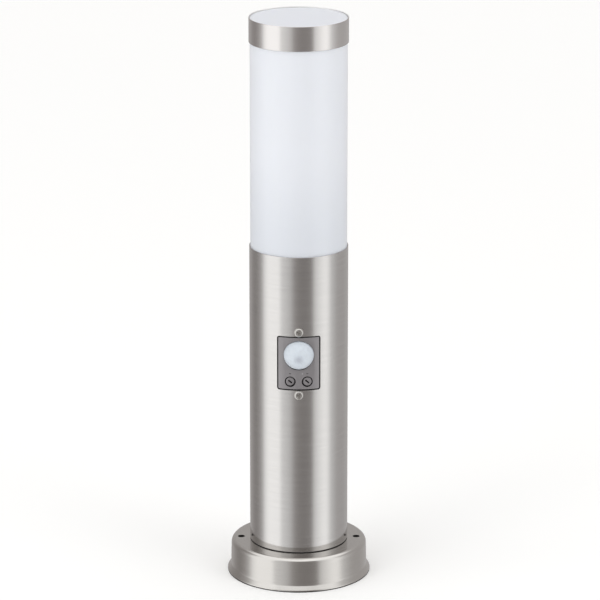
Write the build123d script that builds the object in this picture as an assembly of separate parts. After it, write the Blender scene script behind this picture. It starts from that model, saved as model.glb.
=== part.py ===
from build123d import *

# Bollard garden light with a motion sensor, as an assembly of its real pieces.
#
# A brushed stainless tube stands on a drawn stainless base drum with a flared rim. A closed opal
# shade with a stainless band plugs into the tube's top on three bayonet lugs, over a screw-in
# lamp. A sensor module with a lens and two adjusting dials fills a window in the tube.
#
# Millimetres, +Z up, origin on the ground at the centre of the base. The sensor faces -Y.

import os
from math import atan, cos, radians, sin, sqrt, tan

# ---------------------------------------------------------------- driving dimensions

TOTAL_HEIGHT = 442.0
TUBE_OD = 76.0
TUBE_WALL = 0.7

# base drum, drawn from sheet, with a flared and turned-down rim
BASE_HEIGHT = 26.0
BASE_SHEET = 1.0
BASE_LEDGE = 15.0            # from the tube's wall out to the drum's wall
BASE_DRAFT = 0.4             # the drum widens by this much from top to rim
BASE_CORNER_R = 4.0
RIM_FLARE = 2.6
RIM_HEIGHT = 6.2             # where the drum's wall starts to flare
RIM_EDGE = 1.5               # height of the upright edge that stands on the ground
RIM_BEND_R = 3.0             # radius in the hollow where the flare starts
RIM_EDGE_R = 0.5             # radius where the flare turns down to its edge
ANCHOR_HOLE_D = 5.5
ANCHOR_OFFSET = 7.0          # from the tube's wall out to the anchor holes

# shade and its band
BAND_HEIGHT = 19.0
BAND_WALL = 0.7
SHADE_SHOWN = 159.5          # white length between the tube and the band
SHADE_WALL = 1.8
SHADE_TOP_WALL = 2.5
SHADE_TOP_RECESS = 0.7       # the shade's top lies this far below the band's edge
SHADE_PLUG = 12.0            # depth that the full-width shade enters the tube
NECK_LENGTH = 14.0
NECK_INSET = 3.95            # from the shade's outer wall in to the neck's outer wall

# bayonet between the shade's neck and the lamp carrier
LUG_COUNT = 3
LUG_ANGLE = 13.0             # degrees that one lug spans
LUG_HEIGHT = 3.0
LUG_PROUD = 1.6
LUG_FROM_NECK_END = 1.6
LOCK_TURN = 30.0             # degrees, clockwise from above

# lamp carrier, seal and lamp holder
CARRIER_HEIGHT = 20.0
CARRIER_FLOOR = 3.0
SEAL_THICKNESS = 1.5
HOLDER_FOOT_R = 21.0
HOLDER_R = 18.5
HOLDER_HEIGHT = 40.0
HOLDER_CAVITY_R = 16.0
HOLDER_CAVITY_H = 7.0
HOLDER_WEB = 3.0
SCREW_CAP_R = 13.2           # the lamp's screw cap, outside its thread
SCREW_CAP_LENGTH = 22.0
HOLDER_SHELL_WALL = 0.4
LAMP_R = 22.5
LAMP_LENGTH = 78.0           # contact to crown

# sensor module
SENSOR_DROP = 84.0           # from the tube's top edge down to the module's centre
FACE_W = 31.2
FACE_H = 41.0
FACE_GAP = 1.0               # between the module's face and the window's edge
FACE_CORNER_R = 0.8
FACE_EDGE = 2.0              # thickness of the module's face at its sides
FLANGE_W = 39.0
FLANGE_H = 62.0
FLANGE_EDGE = 1.5
SENSOR_GASKET = 0.8
SENSOR_WALL = 1.6
SENSOR_CASE_W = 35.0
SENSOR_CASE_H = 44.0
SENSOR_CASE_DEPTH = 20.0     # behind the flange
SENSOR_COVER = 1.8
SENSOR_SCREW_PITCH = 50.0
LENS_SIDE = 4.1              # from the lens to each side of the face
LENS_RISE = 6.5              # lens centre above the module's centre
LENS_DOME_RATIO = 0.82       # the dome's height over the lens's radius
LENS_WALL = 0.8
LENS_FLANGE = 1.5            # how far the hidden flange stands out all round
LENS_FLANGE_T = 1.0
DIAL_R = 3.3
DIAL_SPACING = 13.0
DIAL_DROP = 14.5             # dial centres below the module's centre
DIAL_THICKNESS = 1.8
DIAL_RECESS_R = 4.2
DIAL_SLOT_L = 3.6
DIAL_SLOT_W = 1.2
DIAL_SLOT_DEPTH = 1.0
DIAL_SLOT_TILT = -38.0       # degrees from level, seen from the front
DIAL_STEM_R = 1.5
BOARD_GAP = 0.7              # from the board's edges to lines through the face's edges
BOARD_SHORTER = 0.8          # the board is this much shorter again than the face
BOARD_T = 1.6
BOARD_STANDOFF = 9.0         # from the inside of the module's face to the board
BOARD_CORNER_R = 1.0
TRIMMER_W = 8.2
TRIMMER_DEPTH = 5.0
CAN_R = 4.1                  # the heat detector's metal can
CAN_HEIGHT = 4.2
CAN_RIM = 0.5
CAN_RIM_T = 0.7
CAN_WINDOW_W = 4.0
CAN_WINDOW_H = 3.0
RELAY_X = (-14.0, 1.0)       # from the module's centre line
RELAY_Z = (-5.0, 14.0)       # from the module's centre
RELAY_DEPTH = 11.0
FILM_X = (4.0, 9.5)          # the film capacitor
FILM_Z = (-6.0, 7.0)
FILM_DEPTH = 9.0
ROUND_X = 12.2               # the electrolytic capacitor
ROUND_R = 2.5
ROUND_DEPTH = 10.0
SOCKET_W = 15.0
SOCKET_Z = (-18.5, -9.5)
SOCKET_DEPTH = 8.0
SOCKET_HOLE = 5.0            # how deep the leads go in

# foot ring inside the tube, and what holds the base to it
BASE_GASKET = 0.6
FOOT_HEIGHT = 16.0
FOOT_WALL = 2.5
FOOT_FLOOR = 3.0
FOOT_BOSS_R = 5.0
FOOT_BOSS_ANGLES = (30.0, 150.0, 270.0)
BACKING_T = 2.0

# cable gland, M16, for a round cable 8 mm across
GLAND_THREAD_R = 8.0
GLAND_BORE_R = 5.0
GLAND_SEAL_R = 6.2
CABLE_R = 4.0
GLAND_HEX = 19.0
GLAND_NUT_HEX = 20.0
GLAND_FLANGE_T = 4.5
GLAND_SPIGOT = 9.0
GLAND_NUT_T = 4.0

# three-pole terminal block
POLE_PITCH = 11.0
POLE_W = 7.0
BLOCK_DEPTH = 15.0
BLOCK_HEIGHT = 14.0
BLOCK_END_WALL = 1.5
WIRE_ENTRY_RISE = 6.0
WIRE_R = 1.1
POLE_BORE_R = 2.4            # takes two wires side by side

# clearances
SLIP = 0.15                  # parts that are pushed together by hand
THREAD_GAP = 0.05            # a screw in its hole
LOOSE = 0.3                  # parts that pass without touching

# ---------------------------------------------------------------- derived places

TUBE_R = TUBE_OD / 2
TUBE_BORE = TUBE_R - TUBE_WALL
DRUM_R = TUBE_R + BASE_LEDGE
RIM_R = DRUM_R + RIM_FLARE
ANCHOR_R = TUBE_R + ANCHOR_OFFSET
TUBE_BOTTOM = BASE_HEIGHT + BASE_GASKET
TUBE_TOP = TOTAL_HEIGHT - BAND_HEIGHT - SHADE_SHOWN

SHADE_R = TUBE_BORE - SLIP
SHADE_INNER_R = SHADE_R - SHADE_WALL
SHADE_SHOULDER = TUBE_TOP - SHADE_PLUG
NECK_R = SHADE_R - NECK_INSET
NECK_END = SHADE_SHOULDER - NECK_LENGTH
LUG_BOTTOM = NECK_END + LUG_FROM_NECK_END

CARRIER_TOP = SHADE_SHOULDER - SEAL_THICKNESS
CARRIER_BOTTOM = CARRIER_TOP - CARRIER_HEIGHT
CARRIER_R = TUBE_BORE - SLIP
CARRIER_INNER_R = NECK_R + LOOSE
HOLDER_BOTTOM = CARRIER_BOTTOM + CARRIER_FLOOR
HOLDER_WEB_TOP = HOLDER_BOTTOM + HOLDER_CAVITY_H + HOLDER_WEB
HOLDER_TOP = HOLDER_BOTTOM + HOLDER_HEIGHT
HOLDER_SHELL_R = SCREW_CAP_R + LOOSE
HOLDER_BORE_R = HOLDER_SHELL_R + HOLDER_SHELL_WALL + SLIP
TONGUE_TOP = HOLDER_WEB_TOP + 4.0
LAMP_BOTTOM = TONGUE_TOP + LOOSE
CAP_BOTTOM = LAMP_BOTTOM + 4.0
CAP_TOP = CAP_BOTTOM + SCREW_CAP_LENGTH
LAMP_TOP = LAMP_BOTTOM + LAMP_LENGTH

SENSOR_Z = TUBE_TOP - SENSOR_DROP
LENS_Z = SENSOR_Z + LENS_RISE
LENS_R = FACE_W / 2 - LENS_SIDE
LENS_DOME = LENS_R * LENS_DOME_RATIO
LENS_FLANGE_R = LENS_R + LENS_FLANGE
BOARD_W = FACE_W - 2 * BOARD_GAP
BOARD_H = FACE_H - 2 * BOARD_GAP - BOARD_SHORTER
DIAL_Z = SENSOR_Z - DIAL_DROP
GASKET_R = TUBE_BORE - SENSOR_GASKET
FACE_BACK_Y = FACE_EDGE - sqrt(TUBE_R**2 - (FACE_W / 2) ** 2)
FLANGE_BACK_Y = FLANGE_EDGE - sqrt(GASKET_R**2 - (FLANGE_W / 2) ** 2)
CASE_BACK_Y = FLANGE_BACK_Y + SENSOR_CASE_DEPTH
BOARD_FRONT_Y = FACE_BACK_Y + BOARD_STANDOFF
BOARD_BACK_Y = BOARD_FRONT_Y + BOARD_T
DIAL_X = DIAL_SPACING / 2
DIAL_FACE_Y = LOOSE - sqrt(TUBE_R**2 - DIAL_X**2)
DIAL_BACK_Y = DIAL_FACE_Y + DIAL_THICKNESS
DIAL_RECESS_Y = DIAL_BACK_Y + LOOSE
TRIMMER_FRONT_Y = BOARD_FRONT_Y - TRIMMER_DEPTH

FOOT_R = TUBE_BORE - SLIP
FOOT_INNER_R = FOOT_R - FOOT_WALL
FOOT_BOTTOM = TUBE_BOTTOM
FOOT_FLOOR_TOP = FOOT_BOTTOM + FOOT_FLOOR
FOOT_SCREW_CIRCLE = FOOT_INNER_R - FOOT_BOSS_R + 1.0
GLAND_NUT_R = GLAND_NUT_HEX / sqrt(3)
FOOT_BORE_R = GLAND_NUT_R + 1.0
BACKING_TOP = BASE_HEIGHT - BASE_SHEET
BACKING_BOTTOM = BACKING_TOP - BACKING_T
BACKING_R = FOOT_SCREW_CIRCLE + FOOT_BOSS_R

BLOCK_FRONT_Y = FOOT_BORE_R - LOOSE
BLOCK_BACK_Y = BLOCK_FRONT_Y + BLOCK_DEPTH
BLOCK_HALF = POLE_PITCH + POLE_W / 2 + BLOCK_END_WALL
BLOCK_TOP = FOOT_FLOOR_TOP + BLOCK_HEIGHT
WIRE_ENTRY_Z = FOOT_FLOOR_TOP + WIRE_ENTRY_RISE
POLES = (-POLE_PITCH, 0.0, POLE_PITCH)           # earth, neutral, live

# metric and tapping screws: shank radius, head radius, head height
M4 = (2.0, 3.9, 2.6)
M3 = (1.5, 2.8, 2.0)
M2_5 = (1.25, 2.2, 1.6)
ST3_5 = (1.75, 3.5, 2.3)

BOTTOM = (Align.CENTER, Align.CENTER, Align.MIN)


# ---------------------------------------------------------------- shape helpers

def spun(*corners):
    """A solid of revolution about Z. A corner is (radius, height) or (radius, height, fillet)."""
    fillets = [corner[2] if len(corner) > 2 else 0 for corner in corners]
    outline = FilletPolyline(*[corner[:2] for corner in corners], radius=fillets, close=True)
    return revolve(Plane.XZ * make_face(outline), Axis.Z)


def rod(radius, z0, z1, x=0.0, y=0.0):
    """An upright cylinder from z0 to z1."""
    return Pos(x, y, z0) * Cylinder(radius, z1 - z0, align=BOTTOM)


def ring(outer, inner, z0, z1, x=0.0, y=0.0):
    return rod(outer, z0, z1, x, y) - rod(inner, z0, z1, x, y)


def front_rod(radius, x, z, y_back, y_front):
    """A cylinder along Y, from y_back forward to y_front."""
    return Pos(x, y_back, z) * Rot(90, 0, 0) * Cylinder(radius, y_back - y_front, align=BOTTOM)


def slab(x0, x1, y0, y1, z0, z1):
    return Pos((x0 + x1) / 2, (y0 + y1) / 2, (z0 + z1) / 2) * Box(x1 - x0, y1 - y0, z1 - z0)


def front_block(width, height, y0, y1, corner=0.0):
    """A block centred on the sensor module, with its long edges along Y rounded."""
    block = slab(-width / 2, width / 2, y0, y1, SENSOR_Z - height / 2, SENSOR_Z + height / 2)
    return fillet(block.edges().filter_by(Axis.Y), corner) if corner else block


def sector(outer, inner, z0, z1, middle, span):
    """Part of a ring, centred on the angle middle and span degrees wide."""
    section = Plane.XZ * make_face(Polyline((inner, z0), (outer, z0), (outer, z1), (inner, z1), close=True))
    return Rot(0, 0, middle - span / 2) * revolve(section, Axis.Z, revolution_arc=span)


def hexagon_prism(across_flats, z0, z1):
    prism = extrude(RegularPolygon(across_flats / 2, 6, major_radius=False), amount=z1 - z0)
    return Pos(0, 0, z0) * prism


def on_circle(radius, angle):
    return radius * cos(radians(angle)), radius * sin(radians(angle))


def cross_recess(width, depth):
    """The cut of a cross-head driver, with its mouth at z = 0 and its tip below."""
    arms = Box(width, width / 4, depth * 2) + Box(width / 4, width, depth * 2)
    taper = Pos(0, 0, -depth) * Cone(width * 0.22, width * 0.52, depth, align=BOTTOM)
    return arms & taper


def pan_screw(size, length):
    """A cross-head pan screw: the head's underside at z = 0, the shank below it."""
    shank_r, head_r, head_h = size
    head = spun((0, 0), (head_r, 0), (head_r, head_h, head_h * 0.6), (0, head_h))
    shank = spun((0, -length), (shank_r * 0.7, -length), (shank_r, -length + shank_r * 0.4), (shank_r, 0), (0, 0))
    return head + shank - Pos(0, 0, head_h) * cross_recess(head_r * 1.15, head_h * 0.7)


def lead(points, radius=WIRE_R):
    """A wire along straight runs joined by arcs as wide as the runs allow."""
    corners = [Vector(*point) for point in points]
    bends = []
    for before, here, after in zip(corners, corners[1:], corners[2:]):
        turn = radians((here - before).get_angle(after - here))
        bends.append(0.45 * min((here - before).length, (after - here).length) / tan(turn / 2))
    path = FilletPolyline(*points, radius=bends) if bends else Line(*points)
    return sweep(Plane(path @ 0, z_dir=path % 0) * Circle(radius), path=path)


# ---------------------------------------------------------------- base

def base_cover():
    """Drawn drum of stainless sheet: flat top, rounded shoulder, flared rim."""
    top_r = DRUM_R - BASE_DRAFT
    sheet = BASE_SHEET
    inner_drop = sheet * tan(atan(RIM_FLARE / (RIM_HEIGHT - RIM_EDGE)) / 2)
    gland_hole = GLAND_THREAD_R + SLIP
    drum = spun(
        (gland_hole, BASE_HEIGHT),
        (top_r, BASE_HEIGHT, BASE_CORNER_R),
        (DRUM_R, RIM_HEIGHT, RIM_BEND_R),
        (RIM_R, RIM_EDGE, RIM_EDGE_R),
        (RIM_R, 0),
        (RIM_R - sheet, 0),
        (RIM_R - sheet, RIM_EDGE - inner_drop, RIM_EDGE_R),
        (DRUM_R - sheet, RIM_HEIGHT - inner_drop, RIM_BEND_R + sheet),
        (top_r - sheet, BASE_HEIGHT - sheet, BASE_CORNER_R - sheet),
        (gland_hole, BASE_HEIGHT - sheet),
    )
    for side in (-1, 1):
        drum -= rod(ANCHOR_HOLE_D / 2, 0, BASE_HEIGHT + 1, side * ANCHOR_R)
    return drum - foot_screw_holes(M4[0] + SLIP, 0, BASE_HEIGHT + 1)


def foot_screw_holes(radius, z0, z1):
    places = [on_circle(FOOT_SCREW_CIRCLE, angle) for angle in FOOT_BOSS_ANGLES]
    return Compound([rod(radius, z0, z1, x, y) for x, y in places])


def backing_plate():
    """Zinc-plated steel disc that spreads the screws' load under the drum's top."""
    plate = ring(BACKING_R, GLAND_THREAD_R + SLIP, BACKING_BOTTOM, BACKING_TOP)
    return plate - foot_screw_holes(M4[0] + SLIP, 0, BASE_HEIGHT)


def base_gasket():
    """Thin rubber ring under the tube, which shows as a dark line."""
    gasket = ring(TUBE_R - SLIP, FOOT_SCREW_CIRCLE - FOOT_BOSS_R - 1, BASE_HEIGHT, TUBE_BOTTOM)
    return gasket - foot_screw_holes(M4[0] + LOOSE, 0, TUBE_BOTTOM + 1)


def foot_ring():
    """Die-cast ring that is bonded inside the tube, with three tapped bosses and a floor."""
    body = spun(
        (FOOT_BORE_R, FOOT_BOTTOM),
        (FOOT_R, FOOT_BOTTOM),
        (FOOT_R, FOOT_BOTTOM + FOOT_HEIGHT),
        (FOOT_INNER_R, FOOT_BOTTOM + FOOT_HEIGHT),
        (FOOT_INNER_R, FOOT_FLOOR_TOP, 1.0),
        (FOOT_BORE_R, FOOT_FLOOR_TOP),
    )
    for angle in FOOT_BOSS_ANGLES:
        x, y = on_circle(FOOT_SCREW_CIRCLE, angle)
        body += rod(FOOT_BOSS_R, FOOT_BOTTOM, FOOT_BOTTOM + FOOT_HEIGHT - 2, x, y)
    body -= foot_screw_holes(M4[0] + THREAD_GAP, 0, FOOT_BOTTOM + 11)
    for x, y in block_screw_places():
        body -= rod(M2_5[0] + THREAD_GAP, 0, FOOT_FLOOR_TOP + 1, x, y)
    x, y = EARTH_PLACE
    return body - rod(M4[0] + THREAD_GAP, 0, FOOT_FLOOR_TOP + 1, x, y)


def foot_screws():
    screw = Rot(180, 0, 0) * pan_screw(M4, BASE_HEIGHT - BACKING_BOTTOM + BASE_GASKET + 8)
    places = [on_circle(FOOT_SCREW_CIRCLE, angle) for angle in FOOT_BOSS_ANGLES]
    return Compound([Pos(x, y, BACKING_BOTTOM) * screw for x, y in places])


# ---------------------------------------------------------------- cable gland

GLAND_FLANGE_BOTTOM = BACKING_BOTTOM - GLAND_FLANGE_T
GLAND_SPIGOT_BOTTOM = GLAND_FLANGE_BOTTOM - GLAND_SPIGOT
GLAND_CAP_BOTTOM = GLAND_SPIGOT_BOTTOM - 3.0
GLAND_SEAL_TOP = GLAND_FLANGE_BOTTOM - 1.0


def gland_body():
    body = hexagon_prism(GLAND_HEX, GLAND_FLANGE_BOTTOM, BACKING_BOTTOM)
    body += rod(GLAND_THREAD_R, GLAND_SPIGOT_BOTTOM, GLAND_FLANGE_BOTTOM)
    body += rod(GLAND_THREAD_R, BACKING_BOTTOM, BASE_HEIGHT + GLAND_NUT_T + 2)
    body -= rod(GLAND_BORE_R, 0, BASE_HEIGHT + GLAND_NUT_T + 3)
    return body - rod(GLAND_SEAL_R + THREAD_GAP, GLAND_SPIGOT_BOTTOM, GLAND_SEAL_TOP)


def gland_seal():
    """Rubber sleeve that closes on the cable."""
    return ring(GLAND_SEAL_R, CABLE_R, GLAND_SPIGOT_BOTTOM, GLAND_SEAL_TOP)


def gland_cap():
    """Dome nut that squeezes the seal."""
    top = GLAND_FLANGE_BOTTOM - LOOSE
    cap = hexagon_prism(GLAND_NUT_HEX, GLAND_CAP_BOTTOM, top)
    cone = spun(
        (0, GLAND_CAP_BOTTOM),
        (GLAND_SEAL_R + 1.5, GLAND_CAP_BOTTOM),
        (GLAND_NUT_R + 0.2, GLAND_CAP_BOTTOM + 5),
        (GLAND_NUT_R + 0.2, top),
        (0, top),
    )
    cap = cap & cone
    cap -= rod(CABLE_R + 1.0, 0, top)
    return cap - rod(GLAND_THREAD_R + THREAD_GAP, GLAND_SPIGOT_BOTTOM - LOOSE, top)


def gland_locknut():
    nut = hexagon_prism(GLAND_NUT_HEX, BASE_HEIGHT, BASE_HEIGHT + GLAND_NUT_T)
    return nut - rod(GLAND_THREAD_R + THREAD_GAP, 0, BASE_HEIGHT + GLAND_NUT_T + 1)


# ---------------------------------------------------------------- terminals and earth

EARTH_PLACE = on_circle(FOOT_SCREW_CIRCLE - 4.0, 205.0)
EARTH_LUG_T = 0.8
EARTH_BARREL_R = 1.9
EARTH_BARREL_L = 8.0


def block_screw_places():
    middle_y = (BLOCK_FRONT_Y + BLOCK_BACK_Y) / 2
    return [(side * POLE_PITCH / 2, middle_y) for side in (-1, 1)]


def clamp_screw_places():
    ys = (BLOCK_FRONT_Y + BLOCK_DEPTH * 0.27, BLOCK_BACK_Y - BLOCK_DEPTH * 0.27)
    return [(x, y) for x in POLES for y in ys]


def terminal_block():
    block = slab(-BLOCK_HALF, BLOCK_HALF, BLOCK_FRONT_Y, BLOCK_BACK_Y, FOOT_FLOOR_TOP, BLOCK_TOP)
    block = fillet(block.edges().filter_by(Axis.Z), 1.0)
    for x in POLES:
        block -= clamp_cage(x, SLIP)
        block -= front_rod(POLE_BORE_R, x, WIRE_ENTRY_Z, BLOCK_BACK_Y + 1, BLOCK_FRONT_Y - 1)
    for x, y in clamp_screw_places():
        block -= rod(2.0, WIRE_ENTRY_Z, BLOCK_TOP + 1, x, y)
    for x, y in block_screw_places():
        block -= rod(M2_5[0] + SLIP, FOOT_FLOOR_TOP - 1, BLOCK_TOP + 1, x, y)
        block -= rod(M2_5[1] + SLIP, BLOCK_TOP - 5, BLOCK_TOP + 1, x, y)
    return block


def clamp_cage(x, grow=0.0):
    half = POLE_W / 2 - 0.5 + grow
    inset = 2.0 - grow
    return slab(x - half, x + half, BLOCK_FRONT_Y + inset, BLOCK_BACK_Y - inset,
                WIRE_ENTRY_Z - 3 - grow, WIRE_ENTRY_Z + 4 + grow)


def terminal_clamps():
    """Three brass clamp bodies, each bored for the wires and tapped for two screws."""
    clamps = []
    for x in POLES:
        cage = clamp_cage(x) - front_rod(POLE_BORE_R, x, WIRE_ENTRY_Z, BLOCK_BACK_Y, BLOCK_FRONT_Y)
        for pole, y in clamp_screw_places():
            if pole == x:
                cage -= rod(M3[0] + THREAD_GAP, WIRE_ENTRY_Z, WIRE_ENTRY_Z + 5, x, y)
        clamps.append(cage)
    return Compound(clamps)


def terminal_screws():
    screw = rod(M3[0], 0, 6.5) - Pos(0, 0, 6.5) * Box(3.0, 0.6, 1.6)
    return Compound([Pos(x, y, WIRE_ENTRY_Z + 1.3) * screw for x, y in clamp_screw_places()])


def block_screws():
    screw = pan_screw(M2_5, BLOCK_HEIGHT - 5 + FOOT_FLOOR)
    return Compound([Pos(x, y, BLOCK_TOP - 5) * screw for x, y in block_screw_places()])


def earth_lug():
    """Ring terminal on the foot ring's floor, with the barrel that grips the earth wire."""
    x, y = EARTH_PLACE
    top = FOOT_FLOOR_TOP + EARTH_LUG_T
    lug = rod(4.0, FOOT_FLOOR_TOP, top, x, y) + slab(x - 1.9, x + 1.9, y, y + 6, FOOT_FLOOR_TOP, top)
    barrel_z = FOOT_FLOOR_TOP + EARTH_BARREL_R
    barrel = front_rod(EARTH_BARREL_R, x, barrel_z, y + 5 + EARTH_BARREL_L, y + 5)
    lug += barrel
    lug -= front_rod(WIRE_R + THREAD_GAP, x, barrel_z, y + 6 + EARTH_BARREL_L, y + 7)
    return lug - rod(M4[0] + SLIP, 0, top + 1, x, y)


def earth_screw():
    x, y = EARTH_PLACE
    return Pos(x, y, FOOT_FLOOR_TOP + EARTH_LUG_T) * pan_screw(M4, FOOT_FLOOR + EARTH_LUG_T - LOOSE)


# ---------------------------------------------------------------- tube

CARRIER_RIVET_ANGLES = (60.0, 120.0)
RIVET_R = 1.6
RIVET_HEAD_R = 3.0
RIVET_HEAD_H = 0.9
CARRIER_RIVET_Z = HOLDER_BOTTOM + 2.6


def radial(shape, angle, z):
    """Places a shape built along +Z so that it points outwards at an angle and height."""
    return Pos(0, 0, z) * Rot(0, 0, angle) * Rot(0, 90, 0) * shape


def post_tube():
    tube = ring(TUBE_R, TUBE_BORE, TUBE_BOTTOM, TUBE_TOP)
    window = front_block(FACE_W + 2 * FACE_GAP, FACE_H + 2 * FACE_GAP, -TUBE_R - 1, 0,
                         FACE_CORNER_R + FACE_GAP)
    tube -= window
    for z in sensor_screw_heights():
        tube -= front_rod(ST3_5[0] + SLIP, 0, z, 0, -TUBE_R - 1)
    for angle in CARRIER_RIVET_ANGLES:
        tube -= radial(rod(RIVET_R + THREAD_GAP, 0, TUBE_R + 1), angle, CARRIER_RIVET_Z)
    return tube


def carrier_rivets():
    rivet = spun(
        (0, CARRIER_INNER_R + 0.8),
        (RIVET_R, CARRIER_INNER_R + 0.8),
        (RIVET_R, TUBE_R + SLIP),
        (RIVET_HEAD_R, TUBE_R + SLIP),
        (RIVET_HEAD_R, TUBE_R + RIVET_HEAD_H, 0.6),
        (0, TUBE_R + RIVET_HEAD_H),
    )
    return Compound([radial(rivet, angle, CARRIER_RIVET_Z) for angle in CARRIER_RIVET_ANGLES])


# ---------------------------------------------------------------- sensor module

BOARD_POST_R = 2.0
BOARD_POST_X = BOARD_W / 2 - BOARD_POST_R
BOARD_POST_Z = BOARD_H / 2 - BOARD_POST_R - 1.2
BOARD_POSTS = [(sx * BOARD_POST_X, sz * BOARD_POST_Z) for sx in (-1, 1) for sz in (-1, 1)]
COVER_BOSSES = [(13.0, 17.5), (-13.0, -17.5)]
COVER_BOSS_R = 2.5
LEAD_HOLES = (-4.5, 0.0, 4.5)
LEAD_DROP = 14.0             # lead holes below the module's centre
RELAY_BACK_GAP = 1.4
MOULDED_EDGE = 0.5


def sensor_screw_heights():
    return [SENSOR_Z + side * SENSOR_SCREW_PITCH / 2 for side in (-1, 1)]


def sensor_case():
    """Grey moulded case: a face that fills the window, a flange behind the tube's wall, a box."""
    face = front_block(FACE_W, FACE_H, -TUBE_R - 1, FACE_BACK_Y, FACE_CORNER_R)
    face = face & rod(TUBE_R, 0, TOTAL_HEIGHT)
    flange = front_block(FLANGE_W, FLANGE_H, -TUBE_R, FLANGE_BACK_Y, 3.0)
    flange = flange & rod(GASKET_R, 0, TOTAL_HEIGHT)
    box = front_block(SENSOR_CASE_W, SENSOR_CASE_H, FLANGE_BACK_Y - 0.5, CASE_BACK_Y, 2.0)
    inner_w = SENSOR_CASE_W - 2 * SENSOR_WALL
    inner_h = SENSOR_CASE_H - 2 * SENSOR_WALL
    case = face + flange + box
    case -= front_block(min(inner_w, FACE_W - 2), min(inner_h, FACE_H - 2), FACE_BACK_Y, CASE_BACK_Y + 1)
    case -= front_block(inner_w, inner_h, FLANGE_BACK_Y, CASE_BACK_Y + 1)
    for x, z in BOARD_POSTS:
        post = front_rod(BOARD_POST_R, x, SENSOR_Z + z, BOARD_FRONT_Y, FACE_BACK_Y - 0.5)
        case += post - front_rod(M2_5[0] + THREAD_GAP, x, SENSOR_Z + z, BOARD_FRONT_Y + 1, FACE_BACK_Y + 3)
    for x, z in COVER_BOSSES:
        boss = front_rod(COVER_BOSS_R, x, SENSOR_Z + z, CASE_BACK_Y, BOARD_BACK_Y + 2)
        gusset = slab(min(x, x * 1.25), max(x, x * 1.25), BOARD_BACK_Y + 2, CASE_BACK_Y,
                      SENSOR_Z + z - 1, SENSOR_Z + z + 1)
        case += boss + gusset
        case -= front_rod(M2_5[0] + THREAD_GAP, x, SENSOR_Z + z, CASE_BACK_Y + 1, BOARD_BACK_Y + 3)
    for z in sensor_screw_heights():
        case += front_rod(3.2, 0, z, FLANGE_BACK_Y + 3, FLANGE_BACK_Y - 1)
        case -= front_rod(ST3_5[0] + THREAD_GAP, 0, z, FLANGE_BACK_Y + 4, -TUBE_R)
    case -= front_rod(LENS_R + SLIP, 0, LENS_Z, FACE_BACK_Y + 1, -TUBE_R - 1)
    for x in (-DIAL_X, DIAL_X):
        case -= front_rod(DIAL_RECESS_R, x, DIAL_Z, DIAL_RECESS_Y, -TUBE_R - 1)
        case -= front_rod(DIAL_STEM_R + SLIP, x, DIAL_Z, FACE_BACK_Y + 1, -TUBE_R)
    return case


def sensor_gasket():
    """Black foam frame between the module's flange and the tube, which shows in the gap round the face."""
    frame = front_block(FLANGE_W, FLANGE_H, -TUBE_R, FLANGE_BACK_Y, 3.0)
    frame = frame & ring(TUBE_BORE, GASKET_R, 0, TOTAL_HEIGHT)
    frame -= front_block(FACE_W + 2 * SLIP, FACE_H + 2 * SLIP, -TUBE_R, 0, FACE_CORNER_R + SLIP)
    for z in sensor_screw_heights():
        frame -= front_rod(ST3_5[0] + SLIP, 0, z, 0, -TUBE_R)
    return frame


def sensor_screws():
    screw = Rot(90, 0, 0) * pan_screw(ST3_5, 9.0)
    return Compound([Pos(0, -TUBE_R, z) * screw for z in sensor_screw_heights()])


def sensor_cover():
    """Back cover of the module, with a hole for each lead."""
    cover = front_block(SENSOR_CASE_W, SENSOR_CASE_H, CASE_BACK_Y, CASE_BACK_Y + SENSOR_COVER, 2.0)
    for x in LEAD_HOLES:
        cover -= front_rod(WIRE_R + LOOSE, x, SENSOR_Z - LEAD_DROP, CASE_BACK_Y + 5, CASE_BACK_Y - 1)
    for x, z in COVER_BOSSES:
        cover -= front_rod(M2_5[0] + SLIP, x, SENSOR_Z + z, CASE_BACK_Y + 5, CASE_BACK_Y - 1)
    return cover


def cover_screws():
    screw = Rot(-90, 0, 0) * pan_screw(M2_5, SENSOR_COVER + 6)
    back = CASE_BACK_Y + SENSOR_COVER
    return Compound([Pos(x, back, SENSOR_Z + z) * screw for x, z in COVER_BOSSES])


def lens():
    """Domed moulded lens with a flange that sits behind the module's face."""
    shoulder = FACE_BACK_Y + sqrt(TUBE_R**2 - LENS_R**2)
    ball_r = (LENS_R**2 + LENS_DOME**2) / (2 * LENS_DOME)
    ball_z = shoulder + LENS_DOME - ball_r
    outside = rod(LENS_R, 0, shoulder) + dome(ball_r, ball_z, shoulder)
    inside = rod(LENS_R - LENS_WALL, -LENS_FLANGE_T, shoulder) + dome(ball_r - LENS_WALL, ball_z, shoulder)
    flange = rod(LENS_FLANGE_R, -LENS_FLANGE_T, 0)
    return Pos(0, FACE_BACK_Y, LENS_Z) * Rot(90, 0, 0) * (flange + outside - inside)


def dome(radius, centre_z, floor_z):
    """The part of a ball above a level."""
    half_space = rod(radius + 1, floor_z, centre_z + radius + 1)
    return Pos(0, 0, centre_z) * Sphere(radius) & half_space


def lens_ring():
    """Retainer that is bonded behind the lens flange."""
    front = FACE_BACK_Y + LENS_FLANGE_T
    retainer = front_rod(LENS_FLANGE_R, 0, LENS_Z, front + 1.8, front)
    return retainer - front_rod(LENS_R - LENS_WALL, 0, LENS_Z, front + 3, front - 1)


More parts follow.
